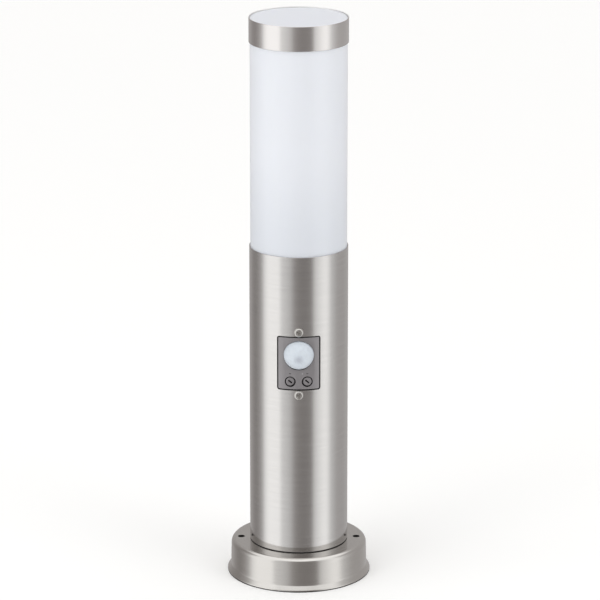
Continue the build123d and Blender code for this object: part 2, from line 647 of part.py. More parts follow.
def detector():
    """Heat detector in a metal can, behind the lens."""
    top = BOARD_FRONT_Y - CAN_HEIGHT
    can = front_rod(CAN_R + CAN_RIM, 0, LENS_Z, BOARD_FRONT_Y, BOARD_FRONT_Y - CAN_RIM_T)
    can += front_rod(CAN_R, 0, LENS_Z, BOARD_FRONT_Y - CAN_RIM_T / 2, top)
    half_w = CAN_WINDOW_W / 2
    half_h = CAN_WINDOW_H / 2
    return can - slab(-half_w, half_w, top - 1, top + 0.3, LENS_Z - half_h, LENS_Z + half_h)


def circuit_board():
    board = front_block(BOARD_W, BOARD_H, BOARD_FRONT_Y, BOARD_BACK_Y, BOARD_CORNER_R)
    for x, z in BOARD_POSTS:
        board -= front_rod(M2_5[0] + SLIP, x, SENSOR_Z + z, BOARD_BACK_Y + 1, BOARD_FRONT_Y - 1)
    return board


def board_screws():
    screw = Rot(-90, 0, 0) * pan_screw((M2_5[0], 1.9, 1.4), BOARD_T + 4)
    tops = [(x, z) for x, z in BOARD_POSTS if x * z < 0]
    return Compound([Pos(x, BOARD_BACK_Y, SENSOR_Z + z) * screw for x, z in tops])


def trimmers():
    """Two adjusting resistors on the board, each turned by a dial's stem."""
    bodies = []
    half = TRIMMER_W / 2
    for x in (-DIAL_X, DIAL_X):
        body = slab(x - half, x + half, TRIMMER_FRONT_Y, BOARD_FRONT_Y, DIAL_Z - half, DIAL_Z + half)
        body = chamfer(body.edges().filter_by(Axis.Y), 0.8)
        bodies.append(body - front_rod(DIAL_STEM_R + SLIP, x, DIAL_Z, BOARD_FRONT_Y - 1, TRIMMER_FRONT_Y - 1))
    return Compound(bodies)


def dial(x):
    """Slotted adjusting dial with a stem that enters its trimmer."""
    knob = front_rod(DIAL_R, x, DIAL_Z, DIAL_BACK_Y, DIAL_FACE_Y)
    knob = chamfer(knob.faces().sort_by(Axis.Y)[0].edges(), 0.35)
    knob += front_rod(DIAL_STEM_R, x, DIAL_Z, BOARD_FRONT_Y - 1 - LOOSE, DIAL_BACK_Y - 0.2)
    slot = Box(DIAL_SLOT_L, 2 * DIAL_SLOT_DEPTH, DIAL_SLOT_W)
    return knob - Pos(x, DIAL_FACE_Y, DIAL_Z) * Rot(0, -DIAL_SLOT_TILT, 0) * slot


def relay():
    back = min(BOARD_BACK_Y + RELAY_DEPTH, CASE_BACK_Y - RELAY_BACK_GAP)
    return on_board(RELAY_X, RELAY_Z, back)


def on_board(x, z, back):
    """A moulded block on the board's back, with its x and z limits from the module's centre."""
    block = slab(x[0], x[1], BOARD_BACK_Y, back, SENSOR_Z + z[0], SENSOR_Z + z[1])
    return fillet(block.edges(), MOULDED_EDGE)


def capacitors():
    """A film capacitor and a round electrolytic on the board's back."""
    film = on_board(FILM_X, FILM_Z, BOARD_BACK_Y + FILM_DEPTH)
    can = front_rod(ROUND_R, ROUND_X, SENSOR_Z, BOARD_BACK_Y + ROUND_DEPTH, BOARD_BACK_Y)
    return Compound([film, can])


def lead_socket():
    """Three-way push-in socket that takes the module's leads."""
    back = BOARD_BACK_Y + SOCKET_DEPTH
    low, high = SOCKET_Z
    socket = slab(-SOCKET_W / 2, SOCKET_W / 2, BOARD_BACK_Y, back, SENSOR_Z + low, SENSOR_Z + high)
    for x in LEAD_HOLES:
        socket -= front_rod(WIRE_R + SLIP, x, SENSOR_Z - LEAD_DROP, back + 1, back - SOCKET_HOLE)
    return socket


# ---------------------------------------------------------------- lamp carrier and holder

LIVE_POST_X = -7.0
SHELL_POST_X = 10.8
HOLDER_SCREW_Y = 18.4
POST_BOTTOM = HOLDER_BOTTOM + 3.0


def lamp_carrier():
    """Moulded cup in the tube's top: bayonet channels in its wall, the lamp holder on its floor."""
    cup = spun(
        (0, CARRIER_BOTTOM),
        (CARRIER_R, CARRIER_BOTTOM, 1.0),
        (CARRIER_R, CARRIER_TOP),
        (CARRIER_INNER_R, CARRIER_TOP),
        (CARRIER_INNER_R, HOLDER_BOTTOM, 1.0),
        (0, HOLDER_BOTTOM),
    )
    depth = NECK_R + LUG_PROUD + LOOSE
    floor = LUG_BOTTOM - LOOSE
    roof = LUG_BOTTOM + LUG_HEIGHT + LOOSE
    mouth = LUG_ANGLE + 4.0
    for index in range(LUG_COUNT):
        middle = lug_angle(index)
        cup -= sector(depth, CARRIER_INNER_R - 0.5, floor, CARRIER_TOP + 1, middle, mouth)
        cup -= sector(depth, CARRIER_INNER_R - 0.5, floor, roof, middle - LOCK_TURN / 2, mouth + LOCK_TURN)
    for x in (LIVE_POST_X, SHELL_POST_X):
        cup -= rod(WIRE_R + LOOSE, 0, HOLDER_BOTTOM + 1, x)
    for side in (-1, 1):
        cup -= rod(M3[0] + SLIP, 0, HOLDER_BOTTOM + 1, 0, side * HOLDER_SCREW_Y)
    for angle in CARRIER_RIVET_ANGLES:
        cup -= radial(rod(RIVET_R + THREAD_GAP, 0, TUBE_R), angle, CARRIER_RIVET_Z)
    return cup


def lug_angle(index):
    return 90.0 + 360.0 / LUG_COUNT * (index + 0.5)


def holder_body():
    """Moulded screw-lamp holder."""
    body = spun(
        (HOLDER_BORE_R, HOLDER_WEB_TOP),
        (HOLDER_BORE_R, HOLDER_TOP),
        (HOLDER_BORE_R + 2.2, HOLDER_TOP, 0.8),
        (HOLDER_R, HOLDER_TOP - 10, 2.0),
        (HOLDER_R, HOLDER_BOTTOM + 9, 2.0),
        (HOLDER_FOOT_R, HOLDER_BOTTOM + 6, 1.0),
        (HOLDER_FOOT_R, HOLDER_BOTTOM),
        (0, HOLDER_BOTTOM),
        (0, HOLDER_WEB_TOP),
    )
    body -= rod(HOLDER_CAVITY_R, HOLDER_BOTTOM, HOLDER_BOTTOM + HOLDER_CAVITY_H)
    body -= rod(1.5 + SLIP, HOLDER_BOTTOM, HOLDER_WEB_TOP + 1, SHELL_POST_X)
    body -= rod(1.2 + SLIP, HOLDER_BOTTOM, HOLDER_WEB_TOP + 1, LIVE_POST_X)
    for side in (-1, 1):
        y = side * HOLDER_SCREW_Y
        body += rod(2.5, HOLDER_BOTTOM, HOLDER_BOTTOM + 7, 0, y)
        body -= rod(M3[0] + THREAD_GAP, HOLDER_BOTTOM, HOLDER_BOTTOM + 6, 0, y)
    return body


def holder_shell():
    """Screw shell with its terminal post."""
    outer = HOLDER_SHELL_R + HOLDER_SHELL_WALL
    shell = spun(
        (9.5, HOLDER_WEB_TOP),
        (outer, HOLDER_WEB_TOP),
        (outer, HOLDER_TOP - 1.0),
        (HOLDER_SHELL_R, HOLDER_TOP - 1.0),
        (HOLDER_SHELL_R, HOLDER_WEB_TOP + 0.6),
        (9.5, HOLDER_WEB_TOP + 0.6),
    )
    return shell + rod(1.5, POST_BOTTOM, HOLDER_WEB_TOP + 0.3, SHELL_POST_X)


def holder_tongue():
    """Centre contact: a sprung tongue on its terminal post."""
    tongue = slab(LIVE_POST_X - 1.4, 4.0, -2.5, 2.5, TONGUE_TOP - 0.6, TONGUE_TOP)
    return tongue + rod(1.2, POST_BOTTOM, TONGUE_TOP - 0.3, LIVE_POST_X)


def holder_screws():
    screw = Rot(180, 0, 0) * pan_screw(M3, CARRIER_FLOOR + 5)
    return Compound([Pos(0, side * HOLDER_SCREW_Y, CARRIER_BOTTOM) * screw for side in (-1, 1)])


# ---------------------------------------------------------------- lamp

def lamp_globe():
    """Opal plastic globe of the lamp, a hollow bowl with a short collar at its bottom."""
    centre = LAMP_TOP - LAMP_R
    waist = centre - LAMP_R * 0.55
    outer = Pos(0, 0, centre) * Sphere(LAMP_R)
    inner = Pos(0, 0, centre) * Sphere(LAMP_R - 1.0)
    keep = rod(LAMP_R + 1, waist, LAMP_TOP + 1)
    return (outer - inner) & keep


def lamp_body():
    """White moulded body of the lamp, which carries the drive circuit."""
    centre = LAMP_TOP - LAMP_R
    waist = centre - LAMP_R * 0.55
    waist_r = LAMP_R * sqrt(1 - 0.55**2)
    neck_r = SCREW_CAP_R - 0.6
    profile = Plane.XZ * make_face(
        [
            Line((0, CAP_TOP - 8), (neck_r - 0.6, CAP_TOP - 8)),
            Line((neck_r - 0.6, CAP_TOP - 8), (neck_r - 0.6, CAP_TOP)),
            Line((neck_r - 0.6, CAP_TOP), (SCREW_CAP_R + 0.8, CAP_TOP)),
            Spline((SCREW_CAP_R + 0.8, CAP_TOP), (waist_r * 0.76, (CAP_TOP + waist) / 2 - 2), (waist_r, waist)),
            Line((waist_r, waist), (0, waist)),
            Line((0, waist), (0, CAP_TOP - 8)),
        ]
    )
    return revolve(profile, Axis.Z)


def lamp_cap():
    """Rolled screw cap of the lamp."""
    thread_depth = 0.55
    pitch = 3.6
    turns = int((SCREW_CAP_LENGTH - 5.0) / pitch)
    outline = [(SCREW_CAP_R - thread_depth, CAP_TOP - SLIP)]
    for turn in range(turns):
        level = CAP_TOP - 3.0 - turn * pitch
        outline.append((SCREW_CAP_R - thread_depth, level, 0.5))
        outline.append((SCREW_CAP_R, level - pitch * 0.3, 0.5))
        outline.append((SCREW_CAP_R, level - pitch * 0.6, 0.5))
        outline.append((SCREW_CAP_R - thread_depth, level - pitch * 0.9, 0.5))
    bottom = CAP_BOTTOM
    outline.append((SCREW_CAP_R - thread_depth, bottom + 1.0))
    outline.append((SCREW_CAP_R - 2.0, bottom))
    outline.append((SCREW_CAP_R - 2.6, bottom + 0.5))
    outline.append((SCREW_CAP_R - 1.1, bottom + 1.4))
    outline.append((SCREW_CAP_R - 1.1, CAP_TOP - SLIP))
    return spun(*outline)


def lamp_insulator():
    """Black glass cone between the screw cap and the contact."""
    return spun(
        (0, LAMP_BOTTOM + 1.2),
        (4.6, LAMP_BOTTOM + 1.2),
        (SCREW_CAP_R - 2.7, CAP_BOTTOM + 0.6),
        (SCREW_CAP_R - 2.7, CAP_BOTTOM + 1.4),
        (0, CAP_BOTTOM + 1.4),
    )


def lamp_contact():
    return spun((0, LAMP_BOTTOM), (4.4, LAMP_BOTTOM, 0.5), (4.4, LAMP_BOTTOM + 1.2), (0, LAMP_BOTTOM + 1.2))


# ---------------------------------------------------------------- shade

def shade():
    """Closed opal cup with a narrow neck below, and three bayonet lugs round the neck."""
    top = TOTAL_HEIGHT - SHADE_TOP_RECESS
    neck_inner = NECK_R - SHADE_WALL
    cup = spun(
        (neck_inner, NECK_END),
        (NECK_R, NECK_END, 0.6),
        (NECK_R, SHADE_SHOULDER),
        (SHADE_R, SHADE_SHOULDER),
        (SHADE_R, top, 0.8),
        (0, top),
        (0, top - SHADE_TOP_WALL),
        (SHADE_INNER_R, top - SHADE_TOP_WALL, 1.5),
        (SHADE_INNER_R, SHADE_SHOULDER + 2.5),
        (neck_inner, SHADE_SHOULDER + 2.5, 1.0),
    )
    for index in range(LUG_COUNT):
        cup += sector(NECK_R + LUG_PROUD, NECK_R - 0.5, LUG_BOTTOM, LUG_BOTTOM + LUG_HEIGHT,
                      lug_angle(index), LUG_ANGLE)
    return cup


def top_band():
    """Brushed stainless band round the shade's top."""
    return spun(
        (SHADE_R + SLIP, TOTAL_HEIGHT - BAND_HEIGHT),
        (SHADE_R + SLIP + BAND_WALL, TOTAL_HEIGHT - BAND_HEIGHT, 0.2),
        (SHADE_R + SLIP + BAND_WALL, TOTAL_HEIGHT, 0.3),
        (SHADE_R + SLIP, TOTAL_HEIGHT, 0.2),
    )


def shade_seal():
    """Silicone ring round the neck, squeezed between the shade's shoulder and the carrier."""
    return ring(TUBE_BORE - LOOSE, NECK_R + SLIP, CARRIER_TOP, SHADE_SHOULDER)


# ---------------------------------------------------------------- leads inside the post

LEAD_BACK_Y = sqrt((FOOT_INNER_R - WIRE_R - LOOSE) ** 2 - POLE_PITCH**2)
LEAD_START_Y = BLOCK_BACK_Y - 5.0
SOCKET_Y = BOARD_BACK_Y + SOCKET_DEPTH
COVER_Y = CASE_BACK_Y + SENSOR_COVER
LEAD_Z = SENSOR_Z - LEAD_DROP


def rising_start(x):
    """The first points of a lead: out of the terminal block's back and up the tube's wall."""
    return [
        (x, LEAD_START_Y, WIRE_ENTRY_Z),
        (x, LEAD_BACK_Y, WIRE_ENTRY_Z),
        (x, LEAD_BACK_Y - 0.4, WIRE_ENTRY_Z + 13.0),
    ]


def sensor_live_lead():
    x = POLES[2]
    return lead(rising_start(x) + [
        (x, LEAD_BACK_Y - 4, LEAD_Z - 60),
        (LEAD_HOLES[2] + 2, 12, LEAD_Z - 18),
        (LEAD_HOLES[2], COVER_Y + 9, LEAD_Z),
        (LEAD_HOLES[2], SOCKET_Y, LEAD_Z),
    ])


def sensor_neutral_lead():
    x = POLES[1] - WIRE_R - 0.1
    return lead(rising_start(x) + [
        (x - 2, LEAD_BACK_Y - 5, LEAD_Z - 64),
        (LEAD_HOLES[1], 10, LEAD_Z - 22),
        (LEAD_HOLES[1], COVER_Y + 7, LEAD_Z),
        (LEAD_HOLES[1], SOCKET_Y, LEAD_Z),
    ])


def lamp_neutral_lead():
    x = POLES[1] + WIRE_R + 0.1
    return lead(rising_start(x) + [
        (x + 4, LEAD_BACK_Y - 4, LEAD_Z - 40),
        (SHELL_POST_X, 20, LEAD_Z + 30),
        (SHELL_POST_X + 1, 2, CARRIER_BOTTOM - 20),
        (SHELL_POST_X, 0, CARRIER_BOTTOM - 6),
        (SHELL_POST_X, 0, POST_BOTTOM),
    ])


def lamp_live_lead():
    x = LEAD_HOLES[0]
    return lead([
        (x, SOCKET_Y, LEAD_Z),
        (x, COVER_Y + 8, LEAD_Z),
        (x - 3, 10, LEAD_Z + 14),
        (LIVE_POST_X, 8, LEAD_Z + 34),
        (LIVE_POST_X - 1, 1, CARRIER_BOTTOM - 14),
        (LIVE_POST_X, 0, CARRIER_BOTTOM - 5),
        (LIVE_POST_X, 0, POST_BOTTOM),
    ])


def earth_lead():
    x, y = EARTH_PLACE
    barrel_mouth = y + 5 + EARTH_BARREL_L
    return lead([
        (POLES[0], BLOCK_FRONT_Y + 5, WIRE_ENTRY_Z),
        (POLES[0], BLOCK_FRONT_Y - 5, WIRE_ENTRY_Z),
        (POLES[0] - 5, BLOCK_FRONT_Y - 7, WIRE_ENTRY_Z + 2),
        (x, barrel_mouth + 5, FOOT_FLOOR_TOP + EARTH_BARREL_R),
        (x, barrel_mouth - 5, FOOT_FLOOR_TOP + EARTH_BARREL_R),
    ])


# ---------------------------------------------------------------- nodes

NODES = {
    "base_cover": base_cover,
    "backing_plate": backing_plate,
    "base_gasket": base_gasket,
    "foot_ring": foot_ring,
    "foot_screws": foot_screws,
    "gland_body": gland_body,
    "gland_seal": gland_seal,
    "gland_cap": gland_cap,
    "gland_locknut": gland_locknut,
    "terminal_block": terminal_block,
    "terminal_clamps": terminal_clamps,
    "terminal_screws": terminal_screws,
    "block_screws": block_screws,
    "earth_lug": earth_lug,
    "earth_screw": earth_screw,
    "post_tube": post_tube,
    "carrier_rivets": carrier_rivets,
    "sensor_case": sensor_case,
    "sensor_gasket": sensor_gasket,
    "sensor_screws": sensor_screws,
    "sensor_cover": sensor_cover,
    "cover_screws": cover_screws,
    "lens": lens,
    "lens_ring": lens_ring,
    "detector": detector,
    "circuit_board": circuit_board,
    "board_screws": board_screws,
    "trimmers": trimmers,
    "time_dial": lambda: dial(-DIAL_X),
    "dusk_dial": lambda: dial(DIAL_X),
    "relay": relay,
    "capacitors": capacitors,
    "lead_socket": lead_socket,
    "lamp_carrier": lamp_carrier,
    "holder_body": holder_body,
    "holder_shell": holder_shell,
    "holder_tongue": holder_tongue,
    "holder_screws": holder_screws,
    "lamp_globe": lamp_globe,
    "lamp_body": lamp_body,
    "lamp_cap": lamp_cap,
    "lamp_insulator": lamp_insulator,
    "lamp_contact": lamp_contact,
    "shade": shade,
    "top_band": top_band,
    "shade_seal": shade_seal,
    "sensor_live_lead": sensor_live_lead,
    "sensor_neutral_lead": sensor_neutral_lead,
    "lamp_neutral_lead": lamp_neutral_lead,
    "lamp_live_lead": lamp_live_lead,
    "earth_lead": earth_lead,
}

os.makedirs("parts", exist_ok=True)
for name, make in NODES.items():
    export_step(make(), f"parts/{name}.step")
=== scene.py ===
import math

import bmesh
import bpy
from mathutils import Matrix, Vector


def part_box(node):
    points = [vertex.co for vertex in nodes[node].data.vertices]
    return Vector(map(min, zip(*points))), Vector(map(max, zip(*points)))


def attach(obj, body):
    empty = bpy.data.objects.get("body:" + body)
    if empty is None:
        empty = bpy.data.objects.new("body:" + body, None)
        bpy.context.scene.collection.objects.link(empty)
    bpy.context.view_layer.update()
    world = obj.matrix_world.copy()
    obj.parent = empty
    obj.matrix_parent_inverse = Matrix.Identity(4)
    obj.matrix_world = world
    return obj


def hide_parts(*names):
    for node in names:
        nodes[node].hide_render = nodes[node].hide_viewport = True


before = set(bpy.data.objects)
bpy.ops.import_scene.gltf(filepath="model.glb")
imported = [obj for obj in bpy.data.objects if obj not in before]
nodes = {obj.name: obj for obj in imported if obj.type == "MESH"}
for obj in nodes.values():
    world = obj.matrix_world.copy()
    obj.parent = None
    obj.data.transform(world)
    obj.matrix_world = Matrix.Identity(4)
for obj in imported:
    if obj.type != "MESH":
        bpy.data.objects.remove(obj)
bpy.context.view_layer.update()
scene = bpy.context.scene
MM = 0.001

# ---------------------------------------------------------------- camera
# A long lens a little over two and a half metres in front of the motion sensor, above the light
# and looking down on it.

CAMERA_DISTANCE = 2.661
CAMERA_HEIGHT = 1.005
CAMERA_TILT = math.radians(15.273)
camera_data = bpy.data.cameras.new("camera")
camera_data.lens = 215.97
camera_data.sensor_width = 36.0
camera_data.shift_x = 0.0021
camera_data.shift_y = -0.1237
camera_data.clip_end = 50.0
camera = bpy.data.objects.new("camera", camera_data)
camera.location = (0.0, -CAMERA_DISTANCE, CAMERA_HEIGHT)
camera.rotation_euler = (math.pi / 2 - CAMERA_TILT, 0.0, 0.0)
scene.collection.objects.link(camera)
scene.camera = camera


# ---------------------------------------------------------------- studio
# A pale floor under a soft white dome. The room is bright to the left and right of the camera, dim
# behind it, and a middle grey elsewhere, which gives brushed steel its upright light and dark
# bands. Two soft lamps that steel doesn't mirror lighten the rest.

def linear(code, alpha=1.0):
    """A colour for a socket from an sRGB hex value."""
    parts = [int(code[i:i + 2], 16) / 255 for i in (1, 3, 5)]
    return [c / 12.92 if c <= 0.04045 else ((c + 0.055) / 1.055) ** 2.4 for c in parts] + [alpha]


def fill(tree, node, inputs):
    """Sets a node's inputs, or links those whose value is a socket."""
    for key, value in inputs.items():
        if isinstance(value, bpy.types.NodeSocket):
            tree.links.new(value, node.inputs[key])
        else:
            node.inputs[key].default_value = value


def add(tree, kind, inputs=None, **settings):
    """Adds a node, sets it, and fills or links its inputs."""
    node = tree.nodes.new(kind)
    for key, value in settings.items():
        setattr(node, key, value)
    fill(tree, node, inputs or {})
    return node


def fill_ramp(node, stops, interpolation="EASE"):
    """Sets a colour ramp's stops: (position, colour)."""
    ramp = node.color_ramp
    ramp.interpolation = interpolation
    while len(ramp.elements) > 1:
        ramp.elements.remove(ramp.elements[-1])
    ramp.elements[0].position, ramp.elements[0].color = stops[0]
    for position, colour in stops[1:]:
        ramp.elements.new(position).color = colour


# azimuth in degrees from the camera's side, positive to the right, and brightness there
ROOM = [
    (-180, 0.50), (-150, 0.46), (-132, 0.35), (-118, 0.31), (-104, 0.42), (-94, 0.62), (-86, 1.14),
    (-74, 1.34), (-58, 1.30), (-46, 1.38), (-41, 0.86), (-34, 0.86), (-25, 0.76), (-17, 0.66), (-12, 0.42),
    (-6, 0.35), (3, 0.295), (14, 0.285), (25, 0.30), (32, 0.32), (36, 0.86), (44, 0.98), (56, 1.20),
    (67, 1.30), (74, 1.14), (80, 0.78), (88, 0.67), (102, 0.51), (125, 0.49), (148, 0.52), (180, 0.50),
]
DOME_LIGHT = 1.36
DOME_FROM = 0.72             # sine of the elevation where the white dome starts
DOME_BLEND = 0.08            # how far it takes on each side of that
WARM = (1.0, 0.945, 0.925)   # tint of the room where it is dim
DIM, TO_LIT = 0.35, 0.35     # the tint is full at this brightness, and fades over this much more
world = bpy.data.worlds.new("studio")
scene.world = world
world.use_nodes = True
tree = world.node_tree
tree.nodes.clear()
ray = add(tree, "ShaderNodeTexCoord").outputs["Generated"]
parts = add(tree, "ShaderNodeSeparateXYZ", {0: ray}).outputs
back = add(tree, "ShaderNodeMath", {0: parts["Y"], 1: -1.0}, operation="MULTIPLY").outputs[0]
azimuth = add(tree, "ShaderNodeMath", {0: parts["X"], 1: back}, operation="ARCTAN2").outputs[0]
turn = add(tree, "ShaderNodeMapRange", {0: azimuth, 1: -math.pi, 2: math.pi}).outputs[0]
ramp = add(tree, "ShaderNodeValToRGB", {0: turn})
stops = []
for degrees, level in ROOM:
    cool = min(1.0, max(0.0, (level - DIM) / TO_LIT))
    stops.append(((degrees + 180) / 360, [level * (w + (1 - w) * cool) for w in WARM] + [1.0]))
fill_ramp(ramp, stops, "LINEAR")
rise = add(tree, "ShaderNodeMapRange", {0: parts["Z"], 1: DOME_FROM - DOME_BLEND, 2: DOME_FROM + DOME_BLEND},
           interpolation_type="SMOOTHSTEP").outputs[0]
sky = add(tree, "ShaderNodeMix", {0: rise, 6: ramp.outputs[0], 7: [DOME_LIGHT] * 3 + [1.0]},
          data_type="RGBA").outputs[2]
seen = add(tree, "ShaderNodeLightPath").outputs["Is Camera Ray"]
shown = add(tree, "ShaderNodeMix", {0: seen, 6: sky, 7: [1.0, 1.0, 1.0, 1.0]}, data_type="RGBA").outputs[2]
background = add(tree, "ShaderNodeBackground", {"Color": shown, "Strength": 1.0})
add(tree, "ShaderNodeOutputWorld", {"Surface": background.outputs[0]})

scene.view_settings.view_transform = "Standard"


def keep(name, mesh, material=None):
    """Links a new mesh as an object at the origin."""
    piece = bpy.data.objects.new(name, mesh)
    scene.collection.objects.link(piece)
    if material:
        mesh.materials.clear()
        mesh.materials.append(material)
    return piece


def new_material(name):
    """A material with a Principled shader: returns it with its tree and shader."""
    material = bpy.data.materials.new(name)
    material.use_nodes = True
    return material, material.node_tree, material.node_tree.nodes["Principled BSDF"]


FLOOR_HALF = 6.0
floor_paint, tree, shader = new_material("matt_white_floor")
fill(tree, shader, {"Base Color": linear("#FDFDFC"), "Roughness": 0.9, "Specular IOR Level": 0.1})
mesh = bpy.data.meshes.new("floor")
corners = [(-1, -1), (1, -1), (1, 1), (-1, 1)]
mesh.from_pydata([(x * FLOOR_HALF, y * FLOOR_HALF, 0.0) for x, y in corners], [], [(0, 1, 2, 3)])
floor = keep("floor", mesh, floor_paint)
floor.visible_glossy = False

KEY_LIGHTS = [
    ("left_soft_light", (-0.85, -0.95, 1.05), 0.55, 2.0),
    ("right_soft_light", (0.95, -0.80, 0.95), 0.50, 1.2),
]
for name, place, width, power in KEY_LIGHTS:
    lamp = bpy.data.lights.new(name, "AREA")
    lamp.shape = "SQUARE"
    lamp.size = width
    lamp.energy = power
    light = bpy.data.objects.new(name, lamp)
    light.location = place
    light.rotation_euler = (Vector((0, 0, 0.2)) - Vector(place)).to_track_quat("-Z", "Y").to_euler()
    light.visible_glossy = False
    scene.collection.objects.link(light)


# ---------------------------------------------------------------- base drum
# Deep-drawn from 1 mm stainless sheet: flat top, rounded shoulder, slightly flared wall, and a
# turned-down rim that stands on the ground. Its finish is brushed round and round on a lathe.

def rounded(corners, step=math.radians(7.5), hold=0.15):
    """A closed outline of (radius, height, fillet) corners in mm, as points with arcs.

    Each arc has a holding point a little way along the straights beside it, so that flat faces
    stay flat in the shading."""
    points = []
    count = len(corners)
    for i, corner in enumerate(corners):
        here = Vector(corner[:2])
        fillet = corner[2] if len(corner) > 2 else 0.0
        before = (Vector(corners[i - 1][:2]) - here).normalized()
        after = (Vector(corners[(i + 1) % count][:2]) - here).normalized()
        if not fillet:
            points.append(here)
            continue
        opening = before.angle(after)
        reach = fillet / math.tan(opening / 2)
        centre = here + (before + after).normalized() * fillet / math.sin(opening / 2)
        start = here + before * reach
        arm = start - centre
        sweep = math.pi - opening
        sense = 1.0 if arm.x * (here - start).y - arm.y * (here - start).x > 0 else -1.0
        pieces = max(2, math.ceil(sweep / step))
        points.append(start + before * hold)
        for k in range(pieces + 1):
            angle = sense * sweep * k / pieces
            turned_arm = Vector((arm.x * math.cos(angle) - arm.y * math.sin(angle),
                                 arm.x * math.sin(angle) + arm.y * math.cos(angle)))
            points.append(centre + turned_arm)
        points.append(here + after * (reach + hold))
    return points


def closed_mesh(name, shape):
    """The mesh of a bmesh, with its faces turned outwards."""
    bmesh.ops.recalc_face_normals(shape, faces=shape.faces)
    mesh = bpy.data.meshes.new(name)
    shape.to_mesh(mesh)
    shape.free()
    return mesh


def turned(name, outline, segments=256):
    """A mesh turned about Z from an outline in mm, with closed poles and outward faces."""
    shape = bmesh.new()
    rings = []
    for radius, height in outline:
        if radius < 1e-6:
            rings.append([shape.verts.new((0, 0, height * MM))])
            continue
        ring = []
        for k in range(segments):
            angle = 2 * math.pi * k / segments
            x, y = radius * math.cos(angle), radius * math.sin(angle)
            ring.append(shape.verts.new((x * MM, y * MM, height * MM)))
        rings.append(ring)
    for low, high in zip(rings, rings[1:] + rings[:1]):
        if len(low) == 1 and len(high) == 1:
            continue
        for k in range(segments):
            after = (k + 1) % segments
            if len(low) == 1:
                shape.faces.new((low[0], high[after], high[k]))
            elif len(high) == 1:
                shape.faces.new((low[k], low[after], high[0]))
            else:
                shape.faces.new((low[k], low[after], high[after], high[k]))
    mesh = closed_mesh(name, shape)
    smooth(mesh)
    return mesh


def smooth(mesh, degrees=30):
    """Smooth shading that stops at edges sharper than this."""
    mesh.shade_smooth()
    mesh.set_sharp_from_angle(angle=math.radians(degrees))


def cut(name, body, cutters):
    """The mesh of a body with closed cutters taken out of it."""
    piece = keep(name, body)
    helpers = []
    for mesh in cutters:
        helper = keep(name + "_cutter", mesh)
        helpers.append(helper)
        knife = piece.modifiers.new("cut", "BOOLEAN")
        knife.object = helper
        knife.operation = "DIFFERENCE"
        knife.solver = "EXACT"
    bpy.context.view_layer.update()
    result = bpy.data.meshes.new_from_object(piece.evaluated_get(bpy.context.evaluated_depsgraph_get()))
    result.name = name
    for spare in [piece] + helpers:
        bpy.data.objects.remove(spare)
    smooth(result)
    return result


def drill(radius, start, end, segments=48):
    """A closed cylinder in mm between two points, to cut a hole with."""
    start, end = Vector(start) * MM, Vector(end) * MM
    shape = bmesh.new()
    turn = (end - start).to_track_quat("Z", "Y").to_matrix().to_4x4()
    place = Matrix.Translation((start + end) / 2) @ turn
    bmesh.ops.create_cone(shape, cap_ends=True, segments=segments, radius1=radius * MM, radius2=radius * MM,
                          depth=(end - start).length, matrix=place)
    return closed_mesh("drill", shape)


def size_of(node):
    """A CAD node's lowest and highest corner in mm."""
    low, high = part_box(node)
    return low / MM, high / MM


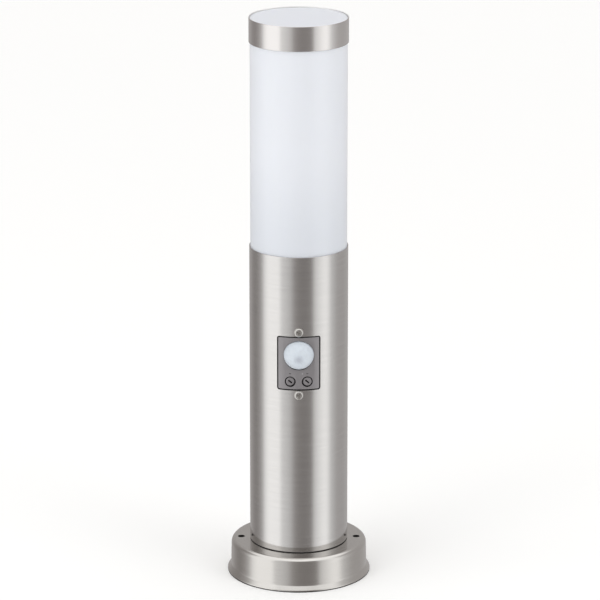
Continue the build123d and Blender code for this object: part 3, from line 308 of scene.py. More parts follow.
def brushed_steel(name, tone, groove_mm=0.5, run_mm=25, contrast=1.0, roughness=0.155, anisotropy=0.85):
    """Stainless steel brushed round the axis.

    Real grooves are under 0.1 mm apart. They are drawn about half a millimetre apart, so that they
    show, and each runs for 20 to 30 mm. Height minus radius is the distance across the grooves on
    a wall, on a flat top and round the shoulder between them."""
    material, tree, shader = new_material(name)
    place = add(tree, "ShaderNodeTexCoord").outputs["Object"]
    part = add(tree, "ShaderNodeSeparateXYZ", {0: place}).outputs
    flat = add(tree, "ShaderNodeCombineXYZ", {"X": part["X"], "Y": part["Y"]}).outputs[0]
    radius = add(tree, "ShaderNodeVectorMath", {0: flat}, operation="LENGTH").outputs["Value"]
    across = add(tree, "ShaderNodeMath", {0: part["Z"], 1: radius}, operation="SUBTRACT").outputs[0]
    along = 1 / (run_mm * MM)
    lines = []
    for spacing in (groove_mm, groove_mm * 2.3):
        per_groove = 1 / (spacing * MM)
        step = add(tree, "ShaderNodeMath", {0: across, 1: per_groove}, operation="MULTIPLY").outputs[0]
        x = add(tree, "ShaderNodeMath", {0: part["X"], 1: along}, operation="MULTIPLY").outputs[0]
        y = add(tree, "ShaderNodeMath", {0: part["Y"], 1: along}, operation="MULTIPLY").outputs[0]
        where = add(tree, "ShaderNodeCombineXYZ", {"X": x, "Y": y, "Z": step}).outputs[0]
        lines.append(add(tree, "ShaderNodeTexNoise", {"Vector": where, "Scale": 1.0, "Detail": 2.0,
                                                      "Roughness": 0.6}).outputs["Fac"])
    both = add(tree, "ShaderNodeMath", {0: lines[0], 1: lines[1]}, operation="ADD").outputs[0]
    depth = add(tree, "ShaderNodeMath", {0: both, 1: 0.5}, operation="MULTIPLY").outputs[0]
    # the grooves scatter a little more or less light, which shows as fine pale and dark lines
    shade_of = add(tree, "ShaderNodeMapRange", {0: depth, 1: 0.3, 2: 0.7, 3: 1 - 0.035 * contrast,
                                                4: 1 + 0.03 * contrast}).outputs[0]
    colour = add(tree, "ShaderNodeMix", {0: 1.0, 6: linear(tone), 7: shade_of}, data_type="RGBA",
                 blend_type="MULTIPLY").outputs[2]
    rough = add(tree, "ShaderNodeMapRange", {0: depth, 1: 0.25, 2: 0.75, 3: roughness - 0.02,
                                             4: roughness + 0.03}).outputs[0]
    bump = add(tree, "ShaderNodeBump", {"Strength": 0.03 * contrast, "Distance": 0.02 * MM,
                                        "Height": depth})
    tangent = add(tree, "ShaderNodeTangent", direction_type="RADIAL", axis="Z").outputs[0]
    fill(tree, shader, {"Base Color": colour, "Roughness": rough, "Normal": bump.outputs[0], "Metallic": 1.0,
                        "Tangent": tangent, "Anisotropic": anisotropy, "Anisotropic Rotation": 0.0})
    return material


low, high = size_of("base_cover")
RIM_R = high.x
DRUM_TOP = high.z
DRUM_FLARE = 2.6
DRUM_R = RIM_R - DRUM_FLARE
DRUM_TAPER = 0.4
DRUM_TOP_R = DRUM_R - DRUM_TAPER
SHEET = 1.0
SHOULDER_R = 4.0
RIM_STARTS = 5.2
RIM_EDGE = 1.5
RIM_BEND_R = 3.0
RIM_EDGE_R = 0.3
SHEARED_EDGE = 0.8
INNER_DROP = SHEET * math.tan(math.atan(DRUM_FLARE / (RIM_STARTS - RIM_EDGE)) / 2)
GLAND_HOLE_R = 8.15
ANCHOR_X = 45.0
ANCHOR_R = 2.75
FOOT_SCREW_R = 2.15
FOOT_SCREW_CIRCLE = 30.65
FOOT_SCREW_ANGLES = (30, 150, 270)
# drawing leaves the drum a little rougher than the tube, so its bands of light are softer
drum_steel = brushed_steel("stainless_steel_drawn_and_spun_brushed", "#CAC7C3", contrast=1.2,
                           roughness=0.16, anisotropy=0.7)
drum_outline = rounded([
    (GLAND_HOLE_R, DRUM_TOP),
    (DRUM_TOP_R, DRUM_TOP, SHOULDER_R),
    (DRUM_R, RIM_STARTS, RIM_BEND_R),
    (RIM_R, RIM_EDGE, RIM_EDGE_R),
    (RIM_R, SHEARED_EDGE),
    (RIM_R, 0.0, 0.15),
    (RIM_R - SHEET, 0.0, 0.15),
    (RIM_R - SHEET, RIM_EDGE - INNER_DROP, RIM_EDGE_R),
    (DRUM_R - SHEET, RIM_STARTS - INNER_DROP, RIM_BEND_R + SHEET),
    (DRUM_TOP_R - SHEET, DRUM_TOP - SHEET, SHOULDER_R - SHEET),
    (GLAND_HOLE_R, DRUM_TOP - SHEET),
])
places = [(ANCHOR_R, -ANCHOR_X, 0.0), (ANCHOR_R, ANCHOR_X, 0.0)]
for degrees in FOOT_SCREW_ANGLES:
    turn = math.radians(degrees)
    places.append((FOOT_SCREW_R, FOOT_SCREW_CIRCLE * math.cos(turn), FOOT_SCREW_CIRCLE * math.sin(turn)))
THROUGH = 4.0                # how far a drill passes each face of the top
holes = [drill(radius, (x, y, DRUM_TOP - THROUGH), (x, y, DRUM_TOP + THROUGH)) for radius, x, y in places]
base_drum = keep("base_drum", cut("base_drum", turned("base_drum", drum_outline, 288), holes), drum_steel)
# painted shade: the drum's inside, the underside of its top, the sheared edge at its foot and the walls of
# its punched holes are dull, unpolished steel painted almost black for the shade in the hollow drum, in the
# holes and against the ground
painted_shade_steel, tree, shader = new_material("stainless_steel_painted_shade_dark")
place = add(tree, "ShaderNodeTexCoord").outputs["Object"]
PATCH = 6.0
patches = add(tree, "ShaderNodeTexNoise", {"Vector": place, "Scale": 1 / (PATCH * MM), "Detail": 4.0})
shade_tone = add(tree, "ShaderNodeValToRGB", {0: patches.outputs["Fac"]})
fill_ramp(shade_tone, [(0.3, linear("#201F1E")), (0.7, linear("#2C2A28"))], "LINEAR")
fill(tree, shader, {"Base Color": shade_tone.outputs[0], "Metallic": 0.6, "Roughness": 0.7})
base_drum.data.materials.append(painted_shade_steel)
# faces in the drum's hollow, in its holes and at its foot take the painted shade
for face in base_drum.data.polygons:
    middle, normal = face.center / MM, face.normal
    inwards = normal.x * middle.x + normal.y * middle.y < -0.3 * math.hypot(middle.x, middle.y)
    in_hole = math.hypot(abs(middle.x) - ANCHOR_X, middle.y) < ANCHOR_R
    if inwards or in_hole or middle.z < SHEARED_EDGE or (normal.z < -0.5 and middle.z > RIM_EDGE):
        face.material_index = 1
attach(base_drum, "post")
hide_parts("base_cover")

# ---------------------------------------------------------------- backing disc and foot screws
# Under the drum's top a zinc-plated steel disc spreads the load of three cross-head pan screws,
# cold-headed and plated, which run up through the drum and a rubber gasket into the foot ring.

def grained(name, colour, roughness=0.5, grain_mm=0.5, grain=0.15, variation=0.03, blotch_mm=16.0,
            metallic=0.0, scatter=0.0):
    """A moulded, cast or plated surface: even colour with a slight blotch, and a fine grain."""
    material, tree, shader = new_material(name)
    place = add(tree, "ShaderNodeTexCoord").outputs["Object"]
    blotch = add(tree, "ShaderNodeTexNoise", {"Vector": place, "Scale": 1 / (blotch_mm * MM),
                                              "Detail": 3.0})
    level = add(tree, "ShaderNodeMapRange", {0: blotch.outputs["Fac"], 1: 0.3, 2: 0.7, 3: 1 - variation,
                                             4: 1 + variation}).outputs[0]
    tint = add(tree, "ShaderNodeMix", {0: 1.0, 6: linear(colour), 7: level}, data_type="RGBA",
               blend_type="MULTIPLY").outputs[2]
    pits = add(tree, "ShaderNodeTexNoise", {"Vector": place, "Scale": 1 / (grain_mm * MM), "Detail": 2.0})
    rough = add(tree, "ShaderNodeMapRange", {0: pits.outputs["Fac"], 1: 0.3, 2: 0.7, 3: roughness - 0.05,
                                             4: roughness + 0.05}).outputs[0]
    bump = add(tree, "ShaderNodeBump", {"Strength": grain, "Distance": 0.03 * MM,
                                        "Height": pits.outputs["Fac"]})
    fill(tree, shader, {"Base Color": tint, "Roughness": rough, "Normal": bump.outputs[0],
                        "Metallic": metallic})
    if scatter:
        fill(tree, shader, {"Subsurface Weight": scatter, "Subsurface Radius": (1.0, 1.0, 1.0),
                            "Subsurface Scale": 1.5 * MM})
    return material


def dress(material, *names):
    """Gives CAD nodes their material."""
    for node in names:
        materials = nodes[node].data.materials
        for slot in range(len(materials)):
            materials[slot] = material


def plain_mesh(name, holder):
    """The mesh that an object's modifiers make, as plain data. The object is removed."""
    bpy.context.view_layer.update()
    mesh = bpy.data.meshes.new_from_object(holder.evaluated_get(bpy.context.evaluated_depsgraph_get()))
    mesh.name = name
    bpy.data.objects.remove(holder)
    return mesh


def eased(name, mesh, edge, segments=2):
    """A mesh with its sharp edges rounded over by a width in mm."""
    holder = keep(name, mesh)
    bevel = holder.modifiers.new("edges", "BEVEL")
    bevel.width = edge * MM
    bevel.segments = segments
    bevel.limit_method = "ANGLE"
    bevel.angle_limit = math.radians(40)
    bevel.use_clamp_overlap = True
    result = plain_mesh(name, holder)
    smooth(result, 35)
    return result


def fixed(piece, body, slot, *stands_for):
    """Fixes a piece to its body and hides the CAD nodes it stands for. slot is not used."""
    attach(piece, body)
    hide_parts(*stands_for)
    return piece


def finished(name, node, body, slot, material, edge=0.2, segments=2, dark=None):
    """A copy of a CAD node with its sharp edges rounded, which stands for the node.

    dark is a second material and a test on a face's centre in mm: faces that pass it take it."""
    mesh = nodes[node].data.copy()
    shape = bmesh.new()
    shape.from_mesh(mesh)
    bmesh.ops.remove_doubles(shape, verts=shape.verts, dist=0.001 * MM)
    bmesh.ops.dissolve_limit(shape, angle_limit=math.radians(0.5), verts=shape.verts, edges=shape.edges)
    shape.to_mesh(mesh)
    shape.free()
    piece = keep(name, eased(name, mesh, edge, segments), material)
    if dark:
        piece.data.materials.append(dark[0])
        for face in piece.data.polygons:
            if dark[1](face.center / MM):
                face.material_index = 1
    return fixed(piece, body, slot, node)


def cross_arm(width, depth, top, angle):
    """One closed arm of a cross-head recess in mm, narrowing towards its tip."""
    turn = Matrix.Rotation(angle, 3, "Z")
    corners = []
    for z, half, thick in ((top - depth, width * 0.2, width * 0.05),
                           (top + 0.3, width * 0.52, width * 0.1)):
        for sx, sy in ((-1, -1), (1, -1), (1, 1), (-1, 1)):
            corners.append(turn @ Vector((sx * half, sy * thick, z)) * MM)
    faces = [(3, 2, 1, 0), (4, 5, 6, 7)]
    faces += [(k, (k + 1) % 4, (k + 1) % 4 + 4, k + 4) for k in range(4)]
    mesh = bpy.data.meshes.new("cross_arm")
    mesh.from_pydata(corners, [], faces)
    return mesh


def pan_screw(name, shank_r, head_r, head_h, length, angle=0.7):
    """A cross-head pan screw in mm along +Z, with the underside of its head at 0."""
    outline = rounded([
        (0.0, -length), (shank_r * 0.6, -length), (shank_r, 1.2 - length), (shank_r, 0.0),
        (head_r, 0.0, 0.12), (head_r, head_h, head_h * 0.62), (0.0, head_h),
    ], step=math.radians(15), hold=0.05)
    recess = (head_r * 1.02, head_h * 0.45, head_h)
    arms = [cross_arm(*recess, angle + quarter) for quarter in (0, math.pi / 2)]
    return cut(name, turned(name, outline, 64), arms)


def copies_tree():
    """Geometry nodes that set copies of one piece round the post, or above each other.

    Each copy is Step Angle and Step Height on from the last. Lean tips the piece from upright."""
    tree = bpy.data.node_groups.new("copies_round_the_post", "GeometryNodeTree")
    for label, kind in (("Geometry", "Geometry"), ("Piece", "Object"), ("Count", "Int"),
                        ("Radius", "Float"), ("First Angle", "Float"), ("Step Angle", "Float"),
                        ("First Height", "Float"), ("Step Height", "Float"), ("Lean", "Float"),
                        ("Finish", "Material")):
        tree.interface.new_socket(label, in_out="INPUT", socket_type="NodeSocket" + kind)
    tree.interface.new_socket("Geometry", in_out="OUTPUT", socket_type="NodeSocketGeometry")
    size = add(tree, "NodeGroupInput").outputs
    index = add(tree, "GeometryNodeInputIndex").outputs[0]
    angle = add(tree, "ShaderNodeMath", {0: index, 1: size["Step Angle"], 2: size["First Angle"]},
                operation="MULTIPLY_ADD").outputs[0]
    height = add(tree, "ShaderNodeMath", {0: index, 1: size["Step Height"], 2: size["First Height"]},
                 operation="MULTIPLY_ADD").outputs[0]
    across = add(tree, "ShaderNodeMath", {0: angle}, operation="COSINE").outputs[0]
    along = add(tree, "ShaderNodeMath", {0: angle}, operation="SINE").outputs[0]
    x = add(tree, "ShaderNodeMath", {0: across, 1: size["Radius"]}, operation="MULTIPLY").outputs[0]
    y = add(tree, "ShaderNodeMath", {0: along, 1: size["Radius"]}, operation="MULTIPLY").outputs[0]
    place = add(tree, "ShaderNodeCombineXYZ", {"X": x, "Y": y, "Z": height}).outputs[0]
    turn = add(tree, "ShaderNodeCombineXYZ", {"Y": size["Lean"], "Z": angle}).outputs[0]
    points = add(tree, "GeometryNodePoints", {"Count": size["Count"], "Position": place}).outputs[0]
    piece = add(tree, "GeometryNodeObjectInfo", {"Object": size["Piece"]}).outputs["Geometry"]
    rotation = add(tree, "FunctionNodeEulerToRotation", {0: turn}).outputs[0]
    copies = add(tree, "GeometryNodeInstanceOnPoints", {"Points": points, "Instance": piece,
                                                        "Rotation": rotation}).outputs[0]
    real = add(tree, "GeometryNodeRealizeInstances", {0: copies}).outputs[0]
    painted = add(tree, "GeometryNodeSetMaterial", {"Geometry": real, "Material": size["Finish"]})
    add(tree, "NodeGroupOutput", {"Geometry": painted.outputs[0]})
    return tree


def grown(name, tree, sizes, mesh=None):
    """The plain mesh that a geometry node tree makes with these named sizes."""
    holder = keep(name, mesh or bpy.data.meshes.new(name))
    modifier = holder.modifiers.new("grown", "NODES")
    modifier.node_group = tree
    for item in tree.interface.items_tree:
        if item.in_out == "INPUT" and item.name in sizes:
            modifier[item.identifier] = sizes[item.name]
    return plain_mesh(name, holder)


def copies(name, mesh, sizes):
    """A piece of several equal solids, set out by the tree of copies."""
    pattern = keep(name + "_pattern", mesh)
    piece = keep(name, grown(name, copies_of, {"Piece": pattern, **sizes}))
    bpy.data.objects.remove(pattern)
    return piece


copies_of = copies_tree()
# zinc plate is bright and a little blue, with small uneven patches; moulded rubber is dead black
zinc_plate = grained("steel_zinc_plated_bright", "#C6C8CC", roughness=0.3, grain_mm=0.8, grain=0.05,
                     variation=0.05, blotch_mm=5.0, metallic=1.0)
epdm = grained("epdm_rubber_moulded_black", "#191818", roughness=0.75, grain_mm=0.7, grain=0.3)
finished("zinc_backing_disc", "backing_plate", "post", "zinc_plated_steel", zinc_plate)
dress(epdm, "base_gasket")
plate_low = size_of("backing_plate")[0]
screw_low, screw_high = size_of("foot_screws")
M4_SHANK, M4_HEAD = 2.0, 3.9
foot_screw = pan_screw("foot_screw", M4_SHANK, M4_HEAD, plate_low.z - screw_low.z,
                       screw_high.z - plate_low.z)
screws = copies("cross_head_foot_screws", foot_screw, {
    "Count": len(FOOT_SCREW_ANGLES), "Radius": FOOT_SCREW_CIRCLE * MM,
    "First Angle": math.radians(FOOT_SCREW_ANGLES[0]),
    "Step Angle": math.radians(FOOT_SCREW_ANGLES[1] - FOOT_SCREW_ANGLES[0]),
    "First Height": plate_low.z * MM, "Lean": math.pi, "Finish": zinc_plate,
})
fixed(screws, "post", "zinc_plated_steel", "foot_screws")

# ---------------------------------------------------------------- cable gland
# An M16 gland in the middle of the drum, injection-moulded in black polyamide: a hexagon body, a
# dome nut that squeezes a rubber sleeve on to the cable, and a locknut above.

# moulded polyamide is a soft-sheened black with a fine spark-eroded grain
polyamide = grained("polyamide_moulded_black", "#222224", roughness=0.42, grain_mm=0.5, grain=0.12)
finished("gland_hexagon_body", "gland_body", "post", "black_nylon", polyamide, edge=0.3)
finished("gland_dome_nut", "gland_cap", "post", "black_nylon", polyamide, edge=0.4, segments=3)
finished("gland_hexagon_locknut", "gland_locknut", "post", "black_nylon", polyamide, edge=0.3)
finished("gland_rubber_sleeve", "gland_seal", "post", "black_rubber", epdm, edge=0.4)

# ---------------------------------------------------------------- foot ring and terminals
# A die-cast zinc ring bonded in the tube takes the foot screws. On its floor stand a three-pole
# terminal block of white polyester with brass clamps, and a crimped earth lug under a screw.

# the casting is dull grey with flow marks, the polyester a warm white with a slight glow, and the
# turned brass and the nickel plate are bright and smooth
zinc_casting = grained("zinc_alloy_die_cast", "#A6A7A8", roughness=0.45, grain_mm=1.2, grain=0.35,
                       variation=0.06, blotch_mm=9.0, metallic=1.0)
white_polyester = grained("polyester_moulded_white", "#E4E2DA", roughness=0.45, grain_mm=0.5, grain=0.08,
                          scatter=0.1)
brass = grained("brass_turned_bright", "#D3B064", roughness=0.25, grain_mm=0.4, grain=0.08, variation=0.04,
                blotch_mm=4.0, metallic=1.0)
nickel_plate = grained("brass_nickel_plated", "#CFCAC2", roughness=0.2, grain_mm=0.6, grain=0.05,
                       variation=0.03, blotch_mm=6.0, metallic=1.0)
dress(zinc_casting, "foot_ring")
finished("terminal_block_moulding", "terminal_block", "post", "white_pbt", white_polyester, edge=0.15,
         segments=1)
dress(brass, "terminal_clamps")
dress(zinc_plate, "terminal_screws", "block_screws", "earth_screw")
dress(nickel_plate, "earth_lug")

# ---------------------------------------------------------------- post tube
# Welded 76 mm stainless tube, brushed round after welding, sawn square and deburred. A window is
# punched in its front for the sensor module, with a screw hole above and below it.

low, high = size_of("post_tube")
TUBE_R = high.x
TUBE_WALL = 0.7
TUBE_BORE = TUBE_R - TUBE_WALL
face_low, face_high = size_of("sensor_case")
WINDOW_W, WINDOW_H, WINDOW_CORNER = 33.2, 43.0, 1.8
SENSOR_Z = (face_low.z + face_high.z) / 2
SCREW_PITCH = 50.0
# fine level lines, and light that spreads into tall bands
tube_steel = brushed_steel("stainless_steel_tube_brushed_round", "#CFCDCB", contrast=1.4)
tube_outline = rounded([
    (TUBE_BORE, low.z), (TUBE_R, low.z, 0.2), (TUBE_R, high.z, 0.25), (TUBE_BORE, high.z, 0.2),
], hold=0.1)


def rounded_block(width, height, corner, y0, y1, z, steps=6):
    """A closed block in mm, centred on x = 0 and the height z, with its edges along Y rounded."""
    ring = []
    for sx, sz, first in ((1, 1, 0), (-1, 1, 90), (-1, -1, 180), (1, -1, 270)):
        for k in range(steps + 1):
            angle = math.radians(first + 90 * k / steps)
            ring.append((sx * (width / 2 - corner) + corner * math.cos(angle),
                         z + sz * (height / 2 - corner) + corner * math.sin(angle)))
    shape = bmesh.new()
    near = [shape.verts.new((x * MM, y0 * MM, h * MM)) for x, h in ring]
    far = [shape.verts.new((x * MM, y1 * MM, h * MM)) for x, h in ring]
    shape.faces.new(near)
    shape.faces.new(far)
    for k in range(len(ring)):
        after = (k + 1) % len(ring)
        shape.faces.new((near[k], near[after], far[after], far[k]))
    return closed_mesh("block", shape)


SCREW_HOLE_R = 1.9
RIVET_HOLE_R = 1.65
RIVET_ANGLES = (60, 120)
rivet_low, rivet_high = size_of("carrier_rivets")
RIVET_Z = (rivet_low.z + rivet_high.z) / 2
cutters = [rounded_block(WINDOW_W, WINDOW_H, WINDOW_CORNER, -TUBE_R - 5, -TUBE_R + 20, SENSOR_Z)]
for side in (-1, 1):
    z = SENSOR_Z + side * SCREW_PITCH / 2
    cutters.append(drill(SCREW_HOLE_R, (0, -TUBE_R - 3, z), (0, -TUBE_R + 6, z)))
for degrees in RIVET_ANGLES:
    x, y = math.cos(math.radians(degrees)), math.sin(math.radians(degrees))
    cutters.append(drill(RIVET_HOLE_R, (x * 30, y * 30, RIVET_Z), (x * 42, y * 42, RIVET_Z)))
bored = cut("steel_tube", turned("steel_tube", tube_outline, 288), cutters)
fixed(keep("steel_tube", eased("steel_tube", bored, 0.2), tube_steel), "post", "stainless", "post_tube")

# Two closed-end blind rivets at the back hold the lamp carrier. Each has a thin round head with
# the dimple that its mandrel leaves.
RIVET_SHANK, RIVET_HEAD, RIVET_DOME, RIVET_LENGTH = 1.6, 3.0, 0.9, 7.0
HEAD_UNDER, HEAD_EDGE, DIMPLE_FLOOR = 0.15, 0.45, 0.4      # heights above the tube's face
DIMPLE_FLOOR_R, DIMPLE_R, DOME_R = 0.8, 0.95, 1.3
rivet_outline = rounded([
    (0.0, -RIVET_LENGTH), (RIVET_SHANK, -RIVET_LENGTH, 0.4), (RIVET_SHANK, HEAD_UNDER),
    (RIVET_HEAD, HEAD_UNDER, 0.1), (RIVET_HEAD, HEAD_EDGE, 0.12), (DOME_R, RIVET_DOME, 0.6),
    (DIMPLE_R, RIVET_DOME, 0.2), (DIMPLE_FLOOR_R, DIMPLE_FLOOR, 0.1), (0.0, DIMPLE_FLOOR),
], hold=0.03)
# cold heading leaves small parts smooth and bright, with no brush lines
rivet_steel = grained("stainless_steel_cold_headed", "#CDCBC7", roughness=0.28, grain_mm=0.5, grain=0.05,
                      variation=0.03, blotch_mm=2.0, metallic=1.0)
rivets = copies("blind_rivets", turned("blind_rivet", rivet_outline, 48), {
    "Count": len(RIVET_ANGLES), "Radius": TUBE_R * MM, "First Angle": math.radians(RIVET_ANGLES[0]),
    "Step Angle": math.radians(RIVET_ANGLES[1] - RIVET_ANGLES[0]), "First Height": RIVET_Z * MM,
    "Lean": math.pi / 2, "Finish": rivet_steel,
})
fixed(rivets, "post", "stainless", "carrier_rivets")

# ---------------------------------------------------------------- sensor module
# The face, flange and box are one moulding of grey ABS with fine metal flake, pushed into the
# window from inside and held by two cross-head screws. Black foam shows in the gap round the face.

lens_low, lens_high = size_of("lens")
LENS_Z = (lens_low.z + lens_high.z) / 2
LENS_R = 11.5
dial_low, dial_high = size_of("dusk_dial")
DIAL_X = (dial_low.x + dial_high.x) / 2
DIAL_Z = (dial_low.z + dial_high.z) / 2
DIAL_RECESS_R = 4.2
SUNK = 0.25                  # how far below the round face a recess's wall begins


def in_shadow(c):
    """Whether a point in mm lies in a dial's recess or in the edge of the lens's opening."""
    deep = c.y + math.sqrt(max(0.0, TUBE_R**2 - c.x**2)) > SUNK
    in_recess = math.hypot(abs(c.x) - DIAL_X, c.z - DIAL_Z) < DIAL_RECESS_R + 0.1
    return (deep and in_recess) or (c.y < -TUBE_R + 8 and math.hypot(c.x, c.z - LENS_Z) < LENS_R + 0.5)


# the flake gives the grey a soft metallic sheen, which its recesses lose in shadow
abs_grey = grained("abs_moulded_grey_metal_flake", "#908D8F", roughness=0.34, grain_mm=0.6, grain=0.12,
                   metallic=0.35)
abs_shadow = grained("abs_moulded_grey_in_shadow", "#2A292C", roughness=0.6, grain_mm=0.6)
finished("sensor_module_case", "sensor_case", "post", "sensor_grey", abs_grey, edge=0.35, segments=3,
         dark=(abs_shadow, in_shadow))
# cut foam has open cells and swallows light
foam = grained("epdm_foam_cut_black", "#0D0D0D", roughness=0.9, grain_mm=0.8, grain=0.5)
dress(foam, "sensor_gasket")
dress(abs_grey, "sensor_cover")
dress(zinc_plate, "cover_screws")

ST35_SHANK, ST35_HEAD, ST35_HEIGHT, ST35_LENGTH = 1.75, 3.5, 2.3, 9.0
RECESS_TURN = 0.95           # radians that the cross recess is turned by
sensor_screw = pan_screw("sensor_screw", ST35_SHANK, ST35_HEAD, ST35_HEIGHT, ST35_LENGTH, RECESS_TURN)
screws = copies("cross_head_sensor_screws", sensor_screw, {
    "Count": 2, "Radius": TUBE_R * MM, "First Angle": -math.pi / 2,
    "First Height": (SENSOR_Z - SCREW_PITCH / 2) * MM, "Step Height": SCREW_PITCH * MM,
    "Lean": math.pi / 2, "Finish": rivet_steel,
})
fixed(screws, "post", "stainless", "sensor_screws")

# ---------------------------------------------------------------- lens
# A thin dome of milky polyethylene, injection-moulded with shallow lens segments in rings round a
# middle one. Light scatters in it, and its middle is painted darker for the dark detector's shade.

LENS_WALL, LENS_DOME, LENS_FLANGE_R, LENS_FLANGE_T = 0.8, 9.43, 13.0, 1.0
SEGMENT_RINGS = ((0, 15, 1), (15, 38, 6), (38, 62, 12))    # polar angles in degrees, and how many
SEGMENT_DIP = 0.22
face_back = lens_high.y - LENS_FLANGE_T
lens_top = face_back - lens_low.y
shoulder = lens_top - LENS_DOME
ball_r = (LENS_R**2 + LENS_DOME**2) / (2 * LENS_DOME)
ball_h = lens_top - ball_r


def dome_arc(radius, steps=40):
    """Points of a dome's outline from the shoulder's level up to its pole."""
    widest = math.acos((shoulder - ball_h) / radius)
    angles = [widest * (1 - k / steps) for k in range(1, steps + 1)]
    return [(radius * math.sin(a) if a else 0.0, ball_h + radius * math.cos(a)) for a in angles]


def segment_dip(polar, round_angle):
    """How far the dome's face lies below the ball at an angle from its axis and round it."""
    for start, end, count in SEGMENT_RINGS:
        if start <= polar < end:
            across = polar / end if count == 1 else 2 * (polar - start) / (end - start) - 1
            along = 0.0 if count == 1 else 2 * (round_angle * count / (2 * math.pi) % 1) - 1
            return SEGMENT_DIP * max(across**2, along**2) ** 1.5
    return 0.0


lens_outline = [(LENS_R - LENS_WALL, -LENS_FLANGE_T), (LENS_FLANGE_R, -LENS_FLANGE_T), (LENS_FLANGE_R, 0.0),
                (LENS_R, 0.0), (LENS_R, shoulder)]
lens_outline += dome_arc(ball_r) + dome_arc(ball_r - LENS_WALL)[::-1] + [(LENS_R - LENS_WALL, shoulder)]
lens_mesh = turned("sensor_lens", [Vector(point) for point in lens_outline], 180)
centre = Vector((0, 0, ball_h * MM))
for vertex in lens_mesh.vertices:
    arm = vertex.co - centre
    if arm.length > (ball_r - LENS_WALL / 2) * MM and vertex.co.z > shoulder * MM:
        polar = math.degrees(math.atan2(math.hypot(arm.x, arm.y), arm.z))
        vertex.co -= arm.normalized() * segment_dip(polar, math.atan2(arm.y, arm.x)) * MM
lens_place = Matrix.Translation((0, face_back * MM, LENS_Z * MM))
lens_mesh.transform(lens_place @ Matrix.Rotation(math.pi / 2, 4, "X"))
lens_mesh.update()
# light spreads inside the plastic, so the dome looks soft, bluish and faintly clouded
milky, tree, shader = new_material("polyethylene_moulded_milky")
place = add(tree, "ShaderNodeTexCoord").outputs["Object"]
DETECTOR_DROP = 1.2                        # the dark middle lies this far below the lens's own
SHADOW_FROM, SHADOW_TO, CLOUD = 0.5, 5.0, 5.0
# painted shade: the tint darkens towards a point just below the lens's middle, for the detector behind it
detector_at = (0.0, lens_low.y * MM, (LENS_Z - DETECTOR_DROP) * MM)
away = add(tree, "ShaderNodeVectorMath", {0: place, 1: detector_at}, operation="DISTANCE").outputs["Value"]
shadow = add(tree, "ShaderNodeMapRange", {0: away, 1: SHADOW_FROM * MM, 2: SHADOW_TO * MM},
             interpolation_type="SMOOTHSTEP")
cloud = add(tree, "ShaderNodeTexNoise", {"Vector": place, "Scale": 1 / (CLOUD * MM), "Detail": 2.0})
mottle = add(tree, "ShaderNodeMath", {0: cloud.outputs["Fac"], 1: 0.35, 2: -0.17},
             operation="MULTIPLY_ADD").outputs[0]
level = add(tree, "ShaderNodeMath", {0: shadow.outputs[0], 1: mottle}, operation="ADD").outputs[0]
tint = add(tree, "ShaderNodeValToRGB", {0: level})
fill_ramp(tint, [(0.0, linear("#BBC1CB")), (1.0, linear("#D3DBE4"))], "LINEAR")
fill(tree, shader, {
    "Base Color": tint.outputs[0], "Roughness": 0.35, "IOR": 1.54, "Subsurface Weight": 0.25,
    "Subsurface Radius": (1.0, 1.0, 1.1), "Subsurface Scale": 1.5 * MM,
})
fixed(keep("sensor_lens", lens_mesh, milky), "post", "lens_white", "lens")
dress(polyamide, "lens_ring")

# ---------------------------------------------------------------- sensor electronics
# Behind the lens a green glass-epoxy board carries the detector in its metal can, two trimmers,
# a relay, two capacitors and a push-in lead socket, all moulded or dipped in epoxy.

# the solder mask is glossy, and uneven over its tracks; moulded epoxy is a plain satin black
board_green = grained("glass_epoxy_green_solder_mask", "#1E5C38", roughness=0.3, grain_mm=1.2, grain=0.1,
                      variation=0.12, blotch_mm=2.5)
epoxy = grained("epoxy_moulded_black", "#1D1D20", roughness=0.5, grain_mm=0.5, grain=0.15)
dress(board_green, "circuit_board")
dress(epoxy, "relay", "capacitors", "trimmers")
dress(nickel_plate, "detector")
dress(zinc_plate, "board_screws")
dress(white_polyester, "lead_socket")

# ---------------------------------------------------------------- adjusting dials
# Two small knobs of the same grey ABS, sunk in the face, each with a slot for a blade. A tick is
# pad-printed above each dial in dark ink, with a pale dot between them.

SLOT_LIP, SLOT_DEPTH, SLOT_REACH = 0.15, 1.4, 2.6
# light hardly reaches the slot's walls, so they show black
slot_black, tree, shader = new_material("unlit_slot_black")
fill(tree, shader, {"Base Color": linear("#070707"), "Roughness": 1.0})
for name in ("time_dial", "dusk_dial"):
    low, high = size_of(name)
    middle = Vector(((low.x + high.x) / 2, 0, (low.z + high.z) / 2))
    front = low.y

    def in_slot(c):
        """Whether a point in mm lies on the slot's walls or floor."""
        reach = math.hypot(c.x - middle.x, c.z - middle.z)
        return front + SLOT_LIP < c.y < front + SLOT_DEPTH and reach < SLOT_REACH

    finished(name + "_knob", name, name, "sensor_grey", abs_grey, edge=0.12, dark=(slot_black, in_slot))


def printed(name, bars, ink):
    """Bars of ink on the module's round face: (x, height, width, length) in mm."""
    INK_T, COLUMNS = 0.03, 6
    shape = bmesh.new()
    for x0, z0, width, length in bars:
        rings = []
        for k in range(COLUMNS + 1):
            x = x0 + width * (k / COLUMNS - 0.5)
            ring = []
            for depth, side in ((INK_T, -1), (INK_T, 1), (-INK_T, 1), (-INK_T, -1)):
                y = -math.sqrt((TUBE_R + depth) ** 2 - x**2)
                ring.append(shape.verts.new((x * MM, y * MM, (z0 + side * length / 2) * MM)))
            rings.append(ring)
        shape.faces.new(rings[0])
        shape.faces.new(rings[-1])
        for one, two in zip(rings, rings[1:]):
            for k in range(4):
                shape.faces.new((one[k], two[k], two[(k + 1) % 4], one[(k + 1) % 4]))
    piece = keep(name, closed_mesh(name, shape), ink)
    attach(piece, "post")


